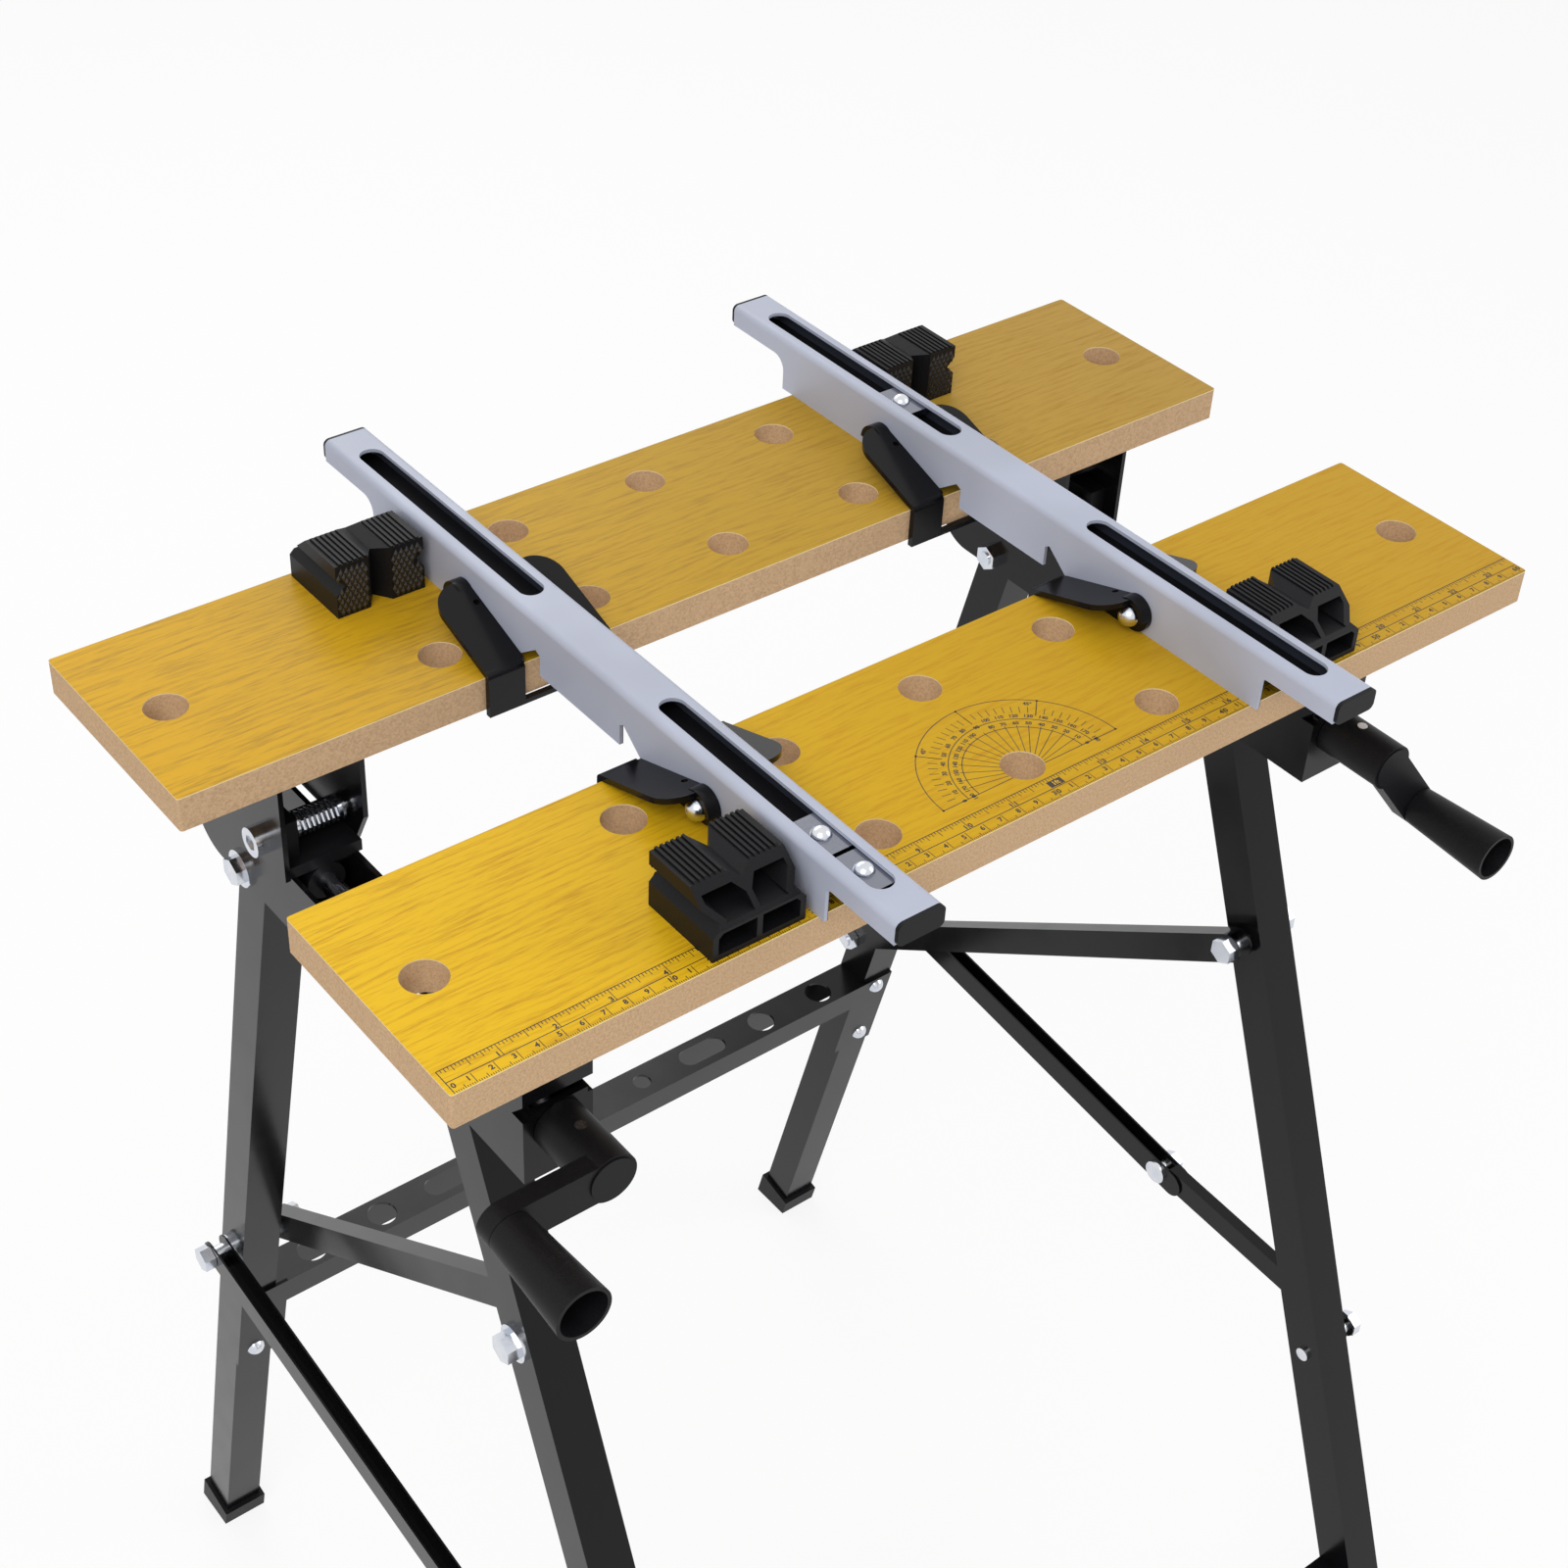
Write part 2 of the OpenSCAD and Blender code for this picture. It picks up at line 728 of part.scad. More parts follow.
// Bolt through the carriage's walls: a socket head, two collars for the spring and a nut
module carriage_bolt() {
    outside = carriage_w / 2;
    head = -outside - carriage_bolt_head_t;
    spring_len = spring_turns * spring_pitch + spring_wire_d;
    difference() {
        union() {
            rod_x(head, -outside, carriage_bolt_y, carriage_bolt_z, carriage_bolt_head_d);
            rod_x(head + cut, outside + hex_t, carriage_bolt_y, carriage_bolt_z, carriage_bolt_d);
            hex_x(outside, outside + hex_t - cut, carriage_bolt_y, carriage_bolt_z, hex_d);
            for (x = [spring_x - spring_wire_d / 2 - clearance - collar_t,
                      spring_x - spring_wire_d / 2 + spring_len + clearance])
                rod_x(x, x + collar_t, carriage_bolt_y, carriage_bolt_z,
                    2 * spring_mean_r + spring_wire_d);
        }
        hex_x(head - cut, head + socket_deep, carriage_bolt_y, carriage_bolt_z, socket_d);
    }
}

module carriage_bolts() {
    color(zinc) placed() both_sides() carriage_bolt();
}

// Middle of the spring's wire at step i
function curl_point(i) =
    let (turn = 360 * i / spring_rings)
    [spring_pitch * i / spring_rings, spring_mean_r * cos(turn), spring_mean_r * sin(turn)];

// Ring of points round the wire at step i, square to its path
function curl_ring(i) =
    let (
        turn = 360 * i / spring_rings,
        outward = [0, cos(turn), sin(turn)],
        rise = spring_pitch / (2 * PI * spring_mean_r),
        ahead = [rise, -sin(turn), cos(turn)] / norm([rise, 1]),
        across = cross(ahead, outward)
    )
    [for (k = [0 : spring_sides - 1])
        curl_point(i) + spring_wire_d / 2
            * (outward * cos(360 * k / spring_sides) + across * sin(360 * k / spring_sides))];

// Spring of one unbroken tube along X, from the origin
module spring_coil() {
    rings = spring_turns * spring_rings;
    points = [for (i = [0 : rings]) each curl_ring(i)];
    last = rings * spring_sides;
    walls = [for (i = [0 : rings - 1], k = [0 : spring_sides - 1])
        let (
            a = i * spring_sides + k,
            b = i * spring_sides + (k + 1) % spring_sides
        )
        each [[a, a + spring_sides, b], [b, a + spring_sides, b + spring_sides]]];
    caps = [for (k = [1 : spring_sides - 2])
        each [[0, k, k + 1], [last, last + k + 1, last + k]]];
    polyhedron(points, concat(walls, caps));
}

spring_gap = min([for (i = [0 : spring_rings * (spring_turns - 1)])
    norm(curl_point(i + spring_rings) - curl_point(i)) - spring_wire_d]);
echo(spring_gap = spring_gap);

module bolt_springs() {
    color(zinc) placed() both_sides()
        translate([spring_x, carriage_bolt_y, carriage_bolt_z]) spring_coil();
}

// A leg's own frame: origin at its pivot, -Z down the leg
module front_leg_frame() {
    translate([0, front_pivot_y, pivot_z]) rotate([front_lean, 0, 0]) children();
}

module rear_leg_frame() {
    translate([0, rear_pivot_y, pivot_z]) rotate([rear_lean, 0, 0]) children();
}

// Leg tube with a round upper end, bored for its pivot and for the pins given as distances
module leg_tube(len, pins) {
    tube_len = len - tube_end;
    difference() {
        union() {
            translate([-leg_w / 2, -leg_w / 2, -tube_len]) cube([leg_w, leg_w, tube_len]);
            rod_x(-leg_w / 2, leg_w / 2, 0, 0, leg_w);
        }
        translate([-leg_w / 2 + leg_wall, -leg_w / 2 + leg_wall, -tube_len - cut])
            cube([leg_w - 2 * leg_wall, leg_w - 2 * leg_wall, tube_len + cut]);
        rod_x(-leg_w / 2 + leg_wall, leg_w / 2 - leg_wall, 0, 0, leg_w - 2 * leg_wall);
        for (d = concat([0], pins))
            rod_x(-leg_w / 2 - cut, leg_w / 2 + cut, 0, -d, pin_d + 2 * pin_clearance);
    }
}

// Distance along a leg from its pivot to level z
function along_leg(lean, z) = (pivot_z - z) / cos(lean);

front_pins = [along_leg(front_lean, -strut_front_drop), along_leg(front_lean, -spreader_front_drop)];
rear_pins = [along_leg(rear_lean, -link_rear_drop)];

module front_leg() {
    front_leg_frame() leg_tube(front_leg_len, front_pins);
}

module rear_leg() {
    rear_leg_frame() leg_tube(rear_leg_len, rear_pins);
}

module front_leg_left() {
    color(black_paint) placed() left_side() front_leg();
}

module front_leg_right() {
    color(black_paint) placed() right_side() front_leg();
}

module rear_leg_left() {
    color(black_paint) placed() left_side() rear_leg();
}

module rear_leg_right() {
    color(black_paint) placed() right_side() rear_leg();
}

// Foot in the leg's own frame: a collar that holds the leg's end and is cut level by the floor
module foot(len, lean) {
    depth = foot_len * cos(lean);
    difference() {
        translate([-foot_w / 2, -depth / 2, -len - foot_h]) cube([foot_w, depth, 2 * foot_h]);
        translate([-leg_w / 2, -leg_w / 2, -len + tube_end]) cube([leg_w, leg_w, 2 * foot_h]);
    }
}

// Room above the floor round a foot
module above_floor(y) {
    translate([-foot_w, y - 2 * foot_len, floor_z]) cube([2 * foot_w, 4 * foot_len, 4 * foot_h]);
}

module front_foot() {
    intersection() {
        front_leg_frame() foot(front_leg_len, front_lean);
        above_floor(front_foot_y);
    }
}

module rear_foot() {
    intersection() {
        rear_leg_frame() foot(rear_leg_len, rear_lean);
        above_floor(rear_foot_y);
    }
}

module front_feet() {
    color(black_plastic) placed() both_sides() front_foot();
}

module rear_feet() {
    color(black_plastic) placed() both_sides() rear_foot();
}

// Cross member in a leg's own frame, between the legs: a level web and two flanges that lie in the
// planes of the legs' faces
module cross_channel(down, lean) {
    inner = channel_x - leg_w / 2;
    front = -leg_w / 2 - cross_wall;
    back = leg_w / 2;
    function web_z(y) = -(y - front) * tan(lean);
    slab_x(-inner, inner) translate([0, -down]) polygon([
        [front, web_z(front)],
        [back, web_z(back)],
        [back, web_z(back) - cross_rear_h],
        [back - cross_wall, web_z(back) - cross_rear_h],
        [back - cross_wall, web_z(back - cross_wall) - cross_wall],
        [front + cross_wall, web_z(front + cross_wall) - cross_wall],
        [front + cross_wall, -cross_front_h],
        [front, -cross_front_h]
    ]);
}

// Hole number i of the stretcher, counted from its middle
module stretcher_hole(i) {
    if (abs(i) < 2) circle(d = stretcher_small_d, $fn = round_faces);
    else if (abs(i) > 2) circle(d = stretcher_hole_d, $fn = round_faces);
    else translate([-(stretcher_slot_len - stretcher_slot_w) / 2, 0])
        slot_shape(stretcher_slot_len - stretcher_slot_w, stretcher_slot_w);
}

// Stretcher: a perforated cross member with a bolted tab in front of each leg
module stretcher() {
    front = -leg_w / 2 - cross_wall;
    last = (stretcher_holes - 1) / 2;
    difference() {
        union() {
            cross_channel(stretcher_down, rear_lean);
            for (side = [0, 1]) mirror([side, 0, 0])
                translate([-channel_x - leg_w / 2, front, -stretcher_down - tab_h])
                    cube([leg_w + tab_inner, cross_wall, tab_h]);
        }
        for (i = [-last : last])
            translate([i * stretcher_pitch, -cross_wall / 2, -stretcher_down - cross_front_h])
                linear_extrude(cross_front_h + cut) stretcher_hole(i);
        for (side = [-1, 1], place = tab_bolt_places)
            rod_y(front - cut, front + cross_wall + cut, side * channel_x,
                -stretcher_down - place, tab_bolt_d + 2 * pin_clearance);
    }
}

module rear_stretcher() {
    color(black_paint) placed() rear_leg_frame() stretcher();
}

module front_crossbar() {
    color(black_paint) placed() front_leg_frame()
        cross_channel(front_leg_len - crossbar_up, front_lean);
}

// Bolts of the stretcher's tabs: a dome head in front of the tab and a shank through it
module tab_bolts() {
    front = -leg_w / 2 - cross_wall;
    for (side = [-1, 1], place = tab_bolt_places)
        translate([side * channel_x, front, -stretcher_down - place]) {
            rotate([90, 0, 0]) dome_head(tab_bolt_head_d, tab_bolt_head_t);
            rod_y(-cut / 2, cross_wall, 0, 0, tab_bolt_d);
        }
}

module stretcher_bolts() {
    color(zinc) placed() rear_leg_frame() tab_bolts();
}

// Link of bent sheet from pin p to pin q, with its web on the -Z side of its own frame
module sheet_link(p, q, x, w, below, above, wall) {
    len = norm(q - p);
    end_r = min(below, above);
    translate([x, p.x, p.y]) rotate([atan2(q.y - p.y, q.x - p.x), 0, 0]) difference() {
        slab_x(0, w) {
            translate([0, -below]) square([len, below + above]);
            intersection() {
                union() {
                    circle(r = max(below, above), $fn = round_faces);
                    translate([len, 0]) circle(r = max(below, above), $fn = round_faces);
                }
                translate([-len, -below]) square([3 * len, below + above]);
            }
        }
        slab_x(wall, w - wall)
            translate([-2 * end_r, -below + wall]) square([len + 4 * end_r, below + above]);
        for (y = [0, len]) rod_x(-cut, w + cut, y, 0, pin_d + 2 * pin_clearance);
    }
}

module strut() {
    sheet_link(strut_rear, strut_front, inner_link_x, link_w, strut_depth / 2, strut_depth / 2, link_wall);
}

module strut_left() {
    color(black_paint) placed() left_side() strut();
}

module strut_right() {
    color(black_paint) placed() right_side() strut();
}

// Outer half of a spreader, which holds the front half between its walls
module spreader_rear() {
    len = norm(knuckle - strut_rear);
    r = spreader_depth / 2;
    translate([outer_link_x, strut_rear.x, strut_rear.y])
        rotate([atan2(knuckle.y - strut_rear.y, knuckle.x - strut_rear.x), 0, 0]) difference() {
            slab_x(0, link_w) {
                translate([0, -r]) square([len + spreader_past, 2 * r]);
                circle(r = r, $fn = round_faces);
                translate([len + spreader_past, 0]) circle(r = r, $fn = round_faces);
            }
            slab_x(link_wall, link_w - link_wall)
                translate([-2 * r, -r - cut]) square([len + spreader_past + 4 * r, 2 * r - link_wall + cut]);
            for (y = [0, len]) rod_x(-cut, link_w + cut, y, 0, pin_d + 2 * pin_clearance);
        }
}

module spreader_rear_left() {
    color(black_paint) placed() left_side() spreader_rear();
}

module spreader_rear_right() {
    color(black_paint) placed() right_side() spreader_rear();
}

// Front half of a spreader, nested between the walls of the outer half
module spreader_front() {
    len = norm(spreader_front_pin - knuckle);
    translate([nested_x, knuckle.x, knuckle.y])
        rotate([atan2(spreader_front_pin.y - knuckle.y, spreader_front_pin.x - knuckle.x), 0, 0])
            difference() {
                slab_x(0, nested_w) {
                    circle(r = nested_below, $fn = round_faces);
                    translate([0, -nested_below]) square([len, 2 * nested_below]);
                    translate([nested_above, -nested_above])
                        square([len - nested_above, nested_above + nested_below]);
                    translate([len, 0]) circle(r = nested_below, $fn = round_faces);
                }
                slab_x(link_wall, nested_w - link_wall)
                    translate([-2 * nested_above, -nested_above + link_wall])
                        square([len + 4 * nested_above, nested_above + nested_below]);
                for (y = [0, len]) rod_x(-cut, nested_w + cut, y, 0, pin_d + 2 * pin_clearance);
            }
}

module spreader_front_left() {
    color(black_paint) placed() left_side() spreader_front();
}

module spreader_front_right() {
    color(black_paint) placed() right_side() spreader_front();
}

// Hexagon bolt along X: head outside x0, shank to x1, nut outside x1
module hex_bolt(x0, x1, place, head_d, nut) {
    hex_x(x0 - hex_t, x0, place.x, place.y, head_d);
    rod_x(x0 - cut / 2, nut ? x1 + hex_t : x1, place.x, place.y, pin_d);
    if (nut) hex_x(x1, x1 + hex_t - cut, place.x, place.y, head_d);
}

// Leg pivots: a bolt through the channel's walls with a flange nut outside
module leg_pivot_bolts() {
    color(zinc) placed() both_sides() for (y = [front_pivot_y, rear_pivot_y]) {
        place = [y, pivot_z];
        hex_bolt(-channel_w / 2, channel_w / 2, place, hex_d, true);
        rod_x(-channel_w / 2 - washer_t, -channel_w / 2, y, pivot_z, washer_d);
        for (side = [0, 1]) mirror([side, 0, 0])
            rod_x(leg_w / 2, channel_w / 2 - channel_wall, y, pivot_z, spacer_d);
    }
}

// Bolts that carry a spreader and a strut on each rear leg
module rear_link_bolts() {
    color(zinc) placed() both_sides() {
        hex_bolt(outer_link_x - clearance, inner_link_x + link_w + clearance, strut_rear, hex_d, true);
        for (x = [-leg_w / 2 - link_gap + clearance, leg_w / 2])
            rod_x(x, x + link_gap - clearance, strut_rear.x, strut_rear.y, hex_d);
    }
}

// Bolts of the front legs: a head on a black washer outside the leg
module front_link_bolts() {
    color(zinc) placed() both_sides() {
        rod_x(-leg_w / 2 - washer_t, -leg_w / 2, strut_front.x, strut_front.y, washer_d);
        hex_bolt(-leg_w / 2 - washer_t, leg_w / 2 + washer_t, strut_front, hex_d, false);
        rod_x(-leg_w / 2 - washer_t, leg_w / 2 + washer_t, spreader_front_pin.x, spreader_front_pin.y,
            pin_d);
    }
}

// Pins at the free front ends of the struts
module strut_pins() {
    color(zinc) placed() both_sides() {
        rod_x(inner_link_x - link_gap + washer_t + clearance, inner_link_x + link_w,
            strut_front.x, strut_front.y, pin_d);
        hex_x(inner_link_x + link_w, inner_link_x + link_w + hex_t - cut,
            strut_front.x, strut_front.y, hex_d);
    }
}

// Bolts at the spreaders' middle joints
module knuckle_bolts() {
    color(zinc) placed() both_sides() {
        hex_x(outer_link_x - hex_t + cut, outer_link_x, knuckle.x, knuckle.y, hex_d);
        rod_x(outer_link_x - cut / 2, outer_link_x + link_w, knuckle.x, knuckle.y, pin_d);
        rod_x(outer_link_x + link_w, outer_link_x + link_w + washer_t, knuckle.x, knuckle.y, hex_d);
    }
}

// Pins at the free front ends of the spreaders
module spreader_pins() {
    color(zinc) placed() both_sides() {
        hex_x(nested_x - hex_t + cut, nested_x, spreader_front_pin.x, spreader_front_pin.y, hex_d);
        rod_x(nested_x - cut / 2, -leg_w / 2 - washer_t - clearance,
            spreader_front_pin.x, spreader_front_pin.y, pin_d);
    }
}

// Rail outline across X: an upside-down channel with round bends
module rail_section() {
    difference() {
        rail_outline(rail_w, rail_h, rail_bend_r);
        translate([0, -cut])
            rail_outline(rail_w - 2 * rail_wall, rail_h - rail_wall + cut, rail_bend_r - rail_wall);
    }
}

module rail_outline(w, h, r) {
    translate([-w / 2, 0]) square([w, h - r]);
    translate([-w / 2 + r, 0]) square([w - 2 * r, h]);
    for (side = [-1, 1]) translate([side * (w / 2 - r), h - r]) circle(r = r, $fn = round_faces);
}

// What is cut from a rail's sides: its shallow ends and the notches beside the levers
module rail_side_cut() {
    translate([rail_front_y - cut, -cut])
        square([rail_deep_front - rail_front_y + cut - rail_front_r, rail_end_z + cut]);
    translate([rail_deep_front - rail_front_r - cut, -cut])
        square([rail_front_r + cut, rail_end_z - rail_front_r + cut]);
    translate([rail_deep_front - rail_front_r, rail_end_z - rail_front_r])
        circle(r = rail_front_r, $fn = round_faces);
    difference() {
        translate([rail_deep_rear, -cut])
            square([rail_rear_y - rail_deep_rear + cut, rail_end_z + cut]);
        translate([rail_deep_rear, rail_end_z - rail_step_r]) difference() {
            square([rail_step_r, rail_step_r + cut]);
            translate([rail_step_r, 0]) circle(r = rail_step_r, $fn = round_faces);
        }
    }
    translate([jaw_w, 0]) lever_notch(front_notch_start, front_notch_peak, front_notch_end);
    translate([rear_jaw_y, 0]) mirror([1, 0])
        lever_notch(rear_notch_start, rear_notch_peak, rear_notch_end);
}

// Notch with a slanted edge from start to peak, and an upright edge at its end
module lever_notch(start, peak, end) {
    polygon([[start, -cut], [start, 0], [peak, notch_h], [end, notch_h - notch_blunt], [end, -cut]]);
}

// Rail: a slotted steel section that lies across both jaws
module rail() {
    difference() {
        slab_y(rail_front_y, rail_rear_y) rail_section();
        slab_x(-rail_w, rail_w) rail_side_cut();
        for (slot = [[front_slot_start, front_slot_len], [rear_slot_start, rear_slot_len]])
            translate([0, slot.x + slot_w / 2, rail_h - rail_wall - cut]) rotate([0, 0, 90])
                linear_extrude(rail_wall + 2 * cut) slot_shape(slot.y - slot_w, slot_w);
        for (y = [front_lever_pin_y, rear_lever_pin_y])
            rod_x(-rail_w, rail_w, y, lever_pin_up, lever_bolt_d + 2 * pin_clearance);
    }
}

module left_rail_place() {
    placed() translate([rail_shift - rail_x, 0, 0]) children();
}

module right_rail_place() {
    placed() translate([rail_shift + rail_x, 0, 0]) children();
}

module rail_left() {
    color(silver_paint) left_rail_place() rail();
}

module rail_right() {
    color(silver_paint) right_rail_place() rail();
}

// Outline of a rail's end, for its caps
module rail_end_outline() {
    translate([-rail_w / 2, rail_end_z]) round_rectangle([rail_w, rail_end_h], rail_bend_r);
}

// Caps that close a rail's two ends, and the strip that closes it from below between them
module rail_caps() {
    plug_h = rail_end_h - rail_wall - cap_gap;
    strip_w = rail_w - 2 * rail_wall - 2 * cap_gap;
    slab_y(rail_front_y - cap_t, rail_front_y) rail_end_outline();
    slab_y(rail_rear_y, rail_rear_y + rear_cap_t) rail_end_outline();
    for (y = [rail_front_y, rail_rear_y - cap_plug])
        translate([-rail_inner_w / 2, y, rail_end_z]) cube([rail_inner_w, cap_plug, plug_h]);
    translate([-strip_w / 2, rail_front_y + cap_plug + cap_gap, rail_end_z])
        cube([strip_w, rail_rear_y - rail_front_y - 2 * cap_plug - 2 * cap_gap, strip_t]);
}

module rail_caps_left() {
    color(black_plastic) left_rail_place() rail_caps();
}

module rail_caps_right() {
    color(black_plastic) right_rail_place() rail_caps();
}

// Bolts on which the levers turn, with a cap nut at each end
module lever_bolts() {
    end = rail_w / 2 + lever_gap + lever_cheek_t + clearance;
    for (y = [front_lever_pin_y, rear_lever_pin_y]) {
        rod_x(-end, end, y, lever_pin_up, lever_bolt_d);
        for (side = [0, 1]) mirror([side, 0, 0]) {
            rod_x(end, end + lever_nut_t, y, lever_pin_up, lever_nut_d);
            along_x([end + lever_nut_t, y, lever_pin_up]) dome_head(lever_nut_d, lever_nut_d / 2);
        }
    }
}

module lever_bolts_left() {
    color(zinc) left_rail_place() lever_bolts();
}

module lever_bolts_right() {
    color(zinc) right_rail_place() lever_bolts();
}

// Bent plate of a lever across X: its sloping top, the bend and the hook
module lever_strip() {
    polygon([
        [0, lever_end_r], [-lever_hook + lever_t, lever_bend_z],
        [-lever_hook + lever_t, lever_bend_z - lever_t], [0, lever_end_r - lever_t]
    ]);
    translate([-lever_hook + lever_t, lever_bend_z - lever_t]) intersection() {
        circle(r = lever_t, $fn = round_faces);
        translate([-lever_t, 0]) square(lever_t);
    }
    translate([-lever_hook, -lever_pin_up - hook_depth])
        square([lever_t, hook_depth + lever_bend_up - lever_t]);
}

// Flange of a lever beside the rail: round about the pin, and just clear of the jaw below
module lever_flange() {
    circle(r = lever_end_r, $fn = round_faces);
    polygon([
        [0, lever_end_r], [-lever_hook + lever_t, lever_bend_z],
        [-lever_hook + lever_t, clearance - lever_pin_up], [0, -lever_end_r]
    ]);
}

// Arm of a lever in its own frame: pin at the origin, hook towards -Y, width along -X from the rail.
// The arm with the bar also holds the crosspiece that joins the hooks of both arms below the rail.
module lever(bar) {
    x1 = -rail_w / 2 - lever_gap;
    x0 = x1 - lever_w;
    flange_x = x1 - lever_cheek_t;
    strip_x = flange_x + cut;
    difference() {
        union() {
            slab_x(flange_x, x1) lever_flange();
            slab_x(x0, strip_x) lever_strip();
            slab_x(flange_x - lever_lip_w, strip_x) intersection() {
                difference() {
                    circle(r = lever_end_r, $fn = round_faces);
                    circle(r = lever_end_r - lever_cheek_t, $fn = round_faces);
                }
                translate([-lever_end_r, 0]) square([2 * lever_end_r, lever_end_r]);
            }
            if (bar) translate([x0, -lever_hook, -lever_pin_up - hook_depth])
                cube([-strip_x - x0, lever_t, lever_bar_h]);
        }
        rod_x(x0 - cut, x1 + cut, 0, 0, lever_bolt_d + 2 * pin_clearance);
        translate([x0, -lever_corner_r, 0]) linear_extrude(2 * lever_end_r) difference() {
            translate([-cut, 0]) square([lever_corner_r + cut, lever_corner_r + cut]);
            translate([lever_corner_r, 0]) circle(r = lever_corner_r, $fn = round_faces);
        }
        translate([flange_x, -lever_corner_r, 0])
            cylinder(d = lever_relief_d, h = lever_end_r, $fn = round_faces);
    }
}

module rear_lever(inner) {
    mirror([inner ? 1 : 0, 0, 0]) translate([0, rear_lever_pin_y, lever_pin_up]) lever(!inner);
}

module front_lever(inner) {
    mirror([inner ? 1 : 0, 0, 0]) translate([0, front_lever_pin_y, lever_pin_up]) mirror([0, 1, 0])
        lever(!inner);
}

module lever_front_left_outer() {
    color(black_paint) left_rail_place() front_lever(false);
}

module lever_front_left_inner() {
    color(black_paint) left_rail_place() front_lever(true);
}

module lever_front_right_outer() {
    color(black_paint) right_rail_place() mirror([1, 0, 0]) front_lever(false);
}

module lever_front_right_inner() {
    color(black_paint) right_rail_place() mirror([1, 0, 0]) front_lever(true);
}

module lever_rear_left_outer() {
    color(black_paint) left_rail_place() rear_lever(false);
}

module lever_rear_left_inner() {
    color(black_paint) left_rail_place() rear_lever(true);
}

module lever_rear_right_outer() {
    color(black_paint) right_rail_place() mirror([1, 0, 0]) rear_lever(false);
}

module lever_rear_right_inner() {
    color(black_paint) right_rail_place() mirror([1, 0, 0]) rear_lever(true);
}

// Clamp plate under a rail's slot and its dome screw
module slot_clamp(y) {
    top = rail_h - rail_wall;
    translate([-rail_inner_w / 2, y - plate_len / 2, top - plate_t])
        cube([rail_inner_w, plate_len, plate_t]);
    translate([0, y, top]) dome_head(plate_screw_d, plate_screw_t);
}

module slot_clamp_a() {
    color(zinc) left_rail_place() slot_clamp(front_slot_start + plate_a_past);
}

module slot_clamp_b() {
    color(zinc) left_rail_place() slot_clamp(front_slot_start + plate_b_past);
}

module slot_clamp_c() {
    color(zinc) right_rail_place() slot_clamp(rear_slot_start + plate_c_past);
}

// One half of a dog's outline across X: a grooved side, and ribs and half a valley on top
module dog_half_section() {
    half = dog_w / 2;
    ribs = floor((half - dog_valley_half) / dog_rib_pitch);
    polygon([
        [0, 0], [half, 0], [half, dog_groove_z - dog_groove], [half - dog_groove, dog_groove_z],
        [half, dog_groove_z + dog_groove], [half, dog_h - dog_rib_h],
        [dog_valley_half, dog_h - dog_rib_h], [0, dog_h - dog_valley]
    ]);
    for (i = [0 : ribs - 1])
        translate([dog_valley_half + (i + 0.25) * dog_rib_pitch, dog_h - 2 * dog_rib_h])
            square([dog_rib_pitch / 2, 2 * dog_rib_h]);
}

// Outline of a dog across Y: an upright working face, and a back that slopes down to its middle
module dog_side() {
    polygon([
        [-dog_back, 0], [dog_front, 0], [dog_front, dog_h],
        [-dog_back + dog_slope_len, dog_h], [-dog_back, dog_divider_z]
    ]);
}

// Two of the four cells in a dog's back, with walls of one thickness round them
module dog_cells() {
    half = dog_w / 2;
    wide = half - dog_rim;
    narrow = half - dog_groove - dog_rim * sqrt(2);
    low = dog_divider_z - dog_rim / 2;
    high = dog_divider_z + dog_rim / 2;
    polygon([
        [dog_rim / 2, dog_rim], [wide, dog_rim], [wide, dog_groove_z - wide + narrow],
        [narrow + dog_groove_z - low, low], [dog_rim / 2, low]
    ]);
    polygon([
        [dog_rim / 2, high], [narrow + dog_groove_z - high, high], [narrow, dog_groove_z],
        [wide, dog_groove_z + wide - narrow], [wide, dog_h - dog_top_wall],
        [dog_valley_half, dog_h - dog_top_wall], [dog_rim / 2, dog_h - dog_top_wall - dog_valley]
    ]);
}

// Dog: a grooved block with a peg, its working face towards +Y
module dog() {
    difference() {
        intersection() {
            slab_y(-dog_back, dog_front) {
                dog_half_section();
                mirror([1, 0]) dog_half_section();
            }
            slab_x(-dog_w, dog_w) dog_side();
        }
        slab_y(-dog_back - cut, -dog_back + dog_cell_depth) {
            dog_cells();
            mirror([1, 0]) dog_cells();
        }
        linear_extrude(2 * dog_h) translate([0, dog_front]) polygon([
            [-dog_vee_half, cut], [-dog_vee_half, 0], [0, -dog_vee], [dog_vee_half, 0],
            [dog_vee_half, cut]
        ]);
    }
    translate([0, 0, -dog_peg_len])
        cylinder(d = dog_hole_d - 2 * dog_peg_gap, h = dog_peg_len + cut, $fn = round_faces);
}

module front_dog(side) {
    translate([side * 2 * hole_pitch, row_inset, 0]) dog();
}

module rear_dog(side) {
    translate([side * 2 * hole_pitch, rear_jaw_y + row_inset + row_pitch, 0]) rotate([0, 0, 180]) dog();
}

module dog_front_left() {
    color(black_plastic) placed() front_dog(-1);
}

module dog_front_right() {
    color(black_plastic) placed() front_dog(1);
}

module dog_rear_left() {
    color(black_plastic) placed() rear_dog(-1);
}

module dog_rear_right() {
    color(black_plastic) placed() rear_dog(1);
}

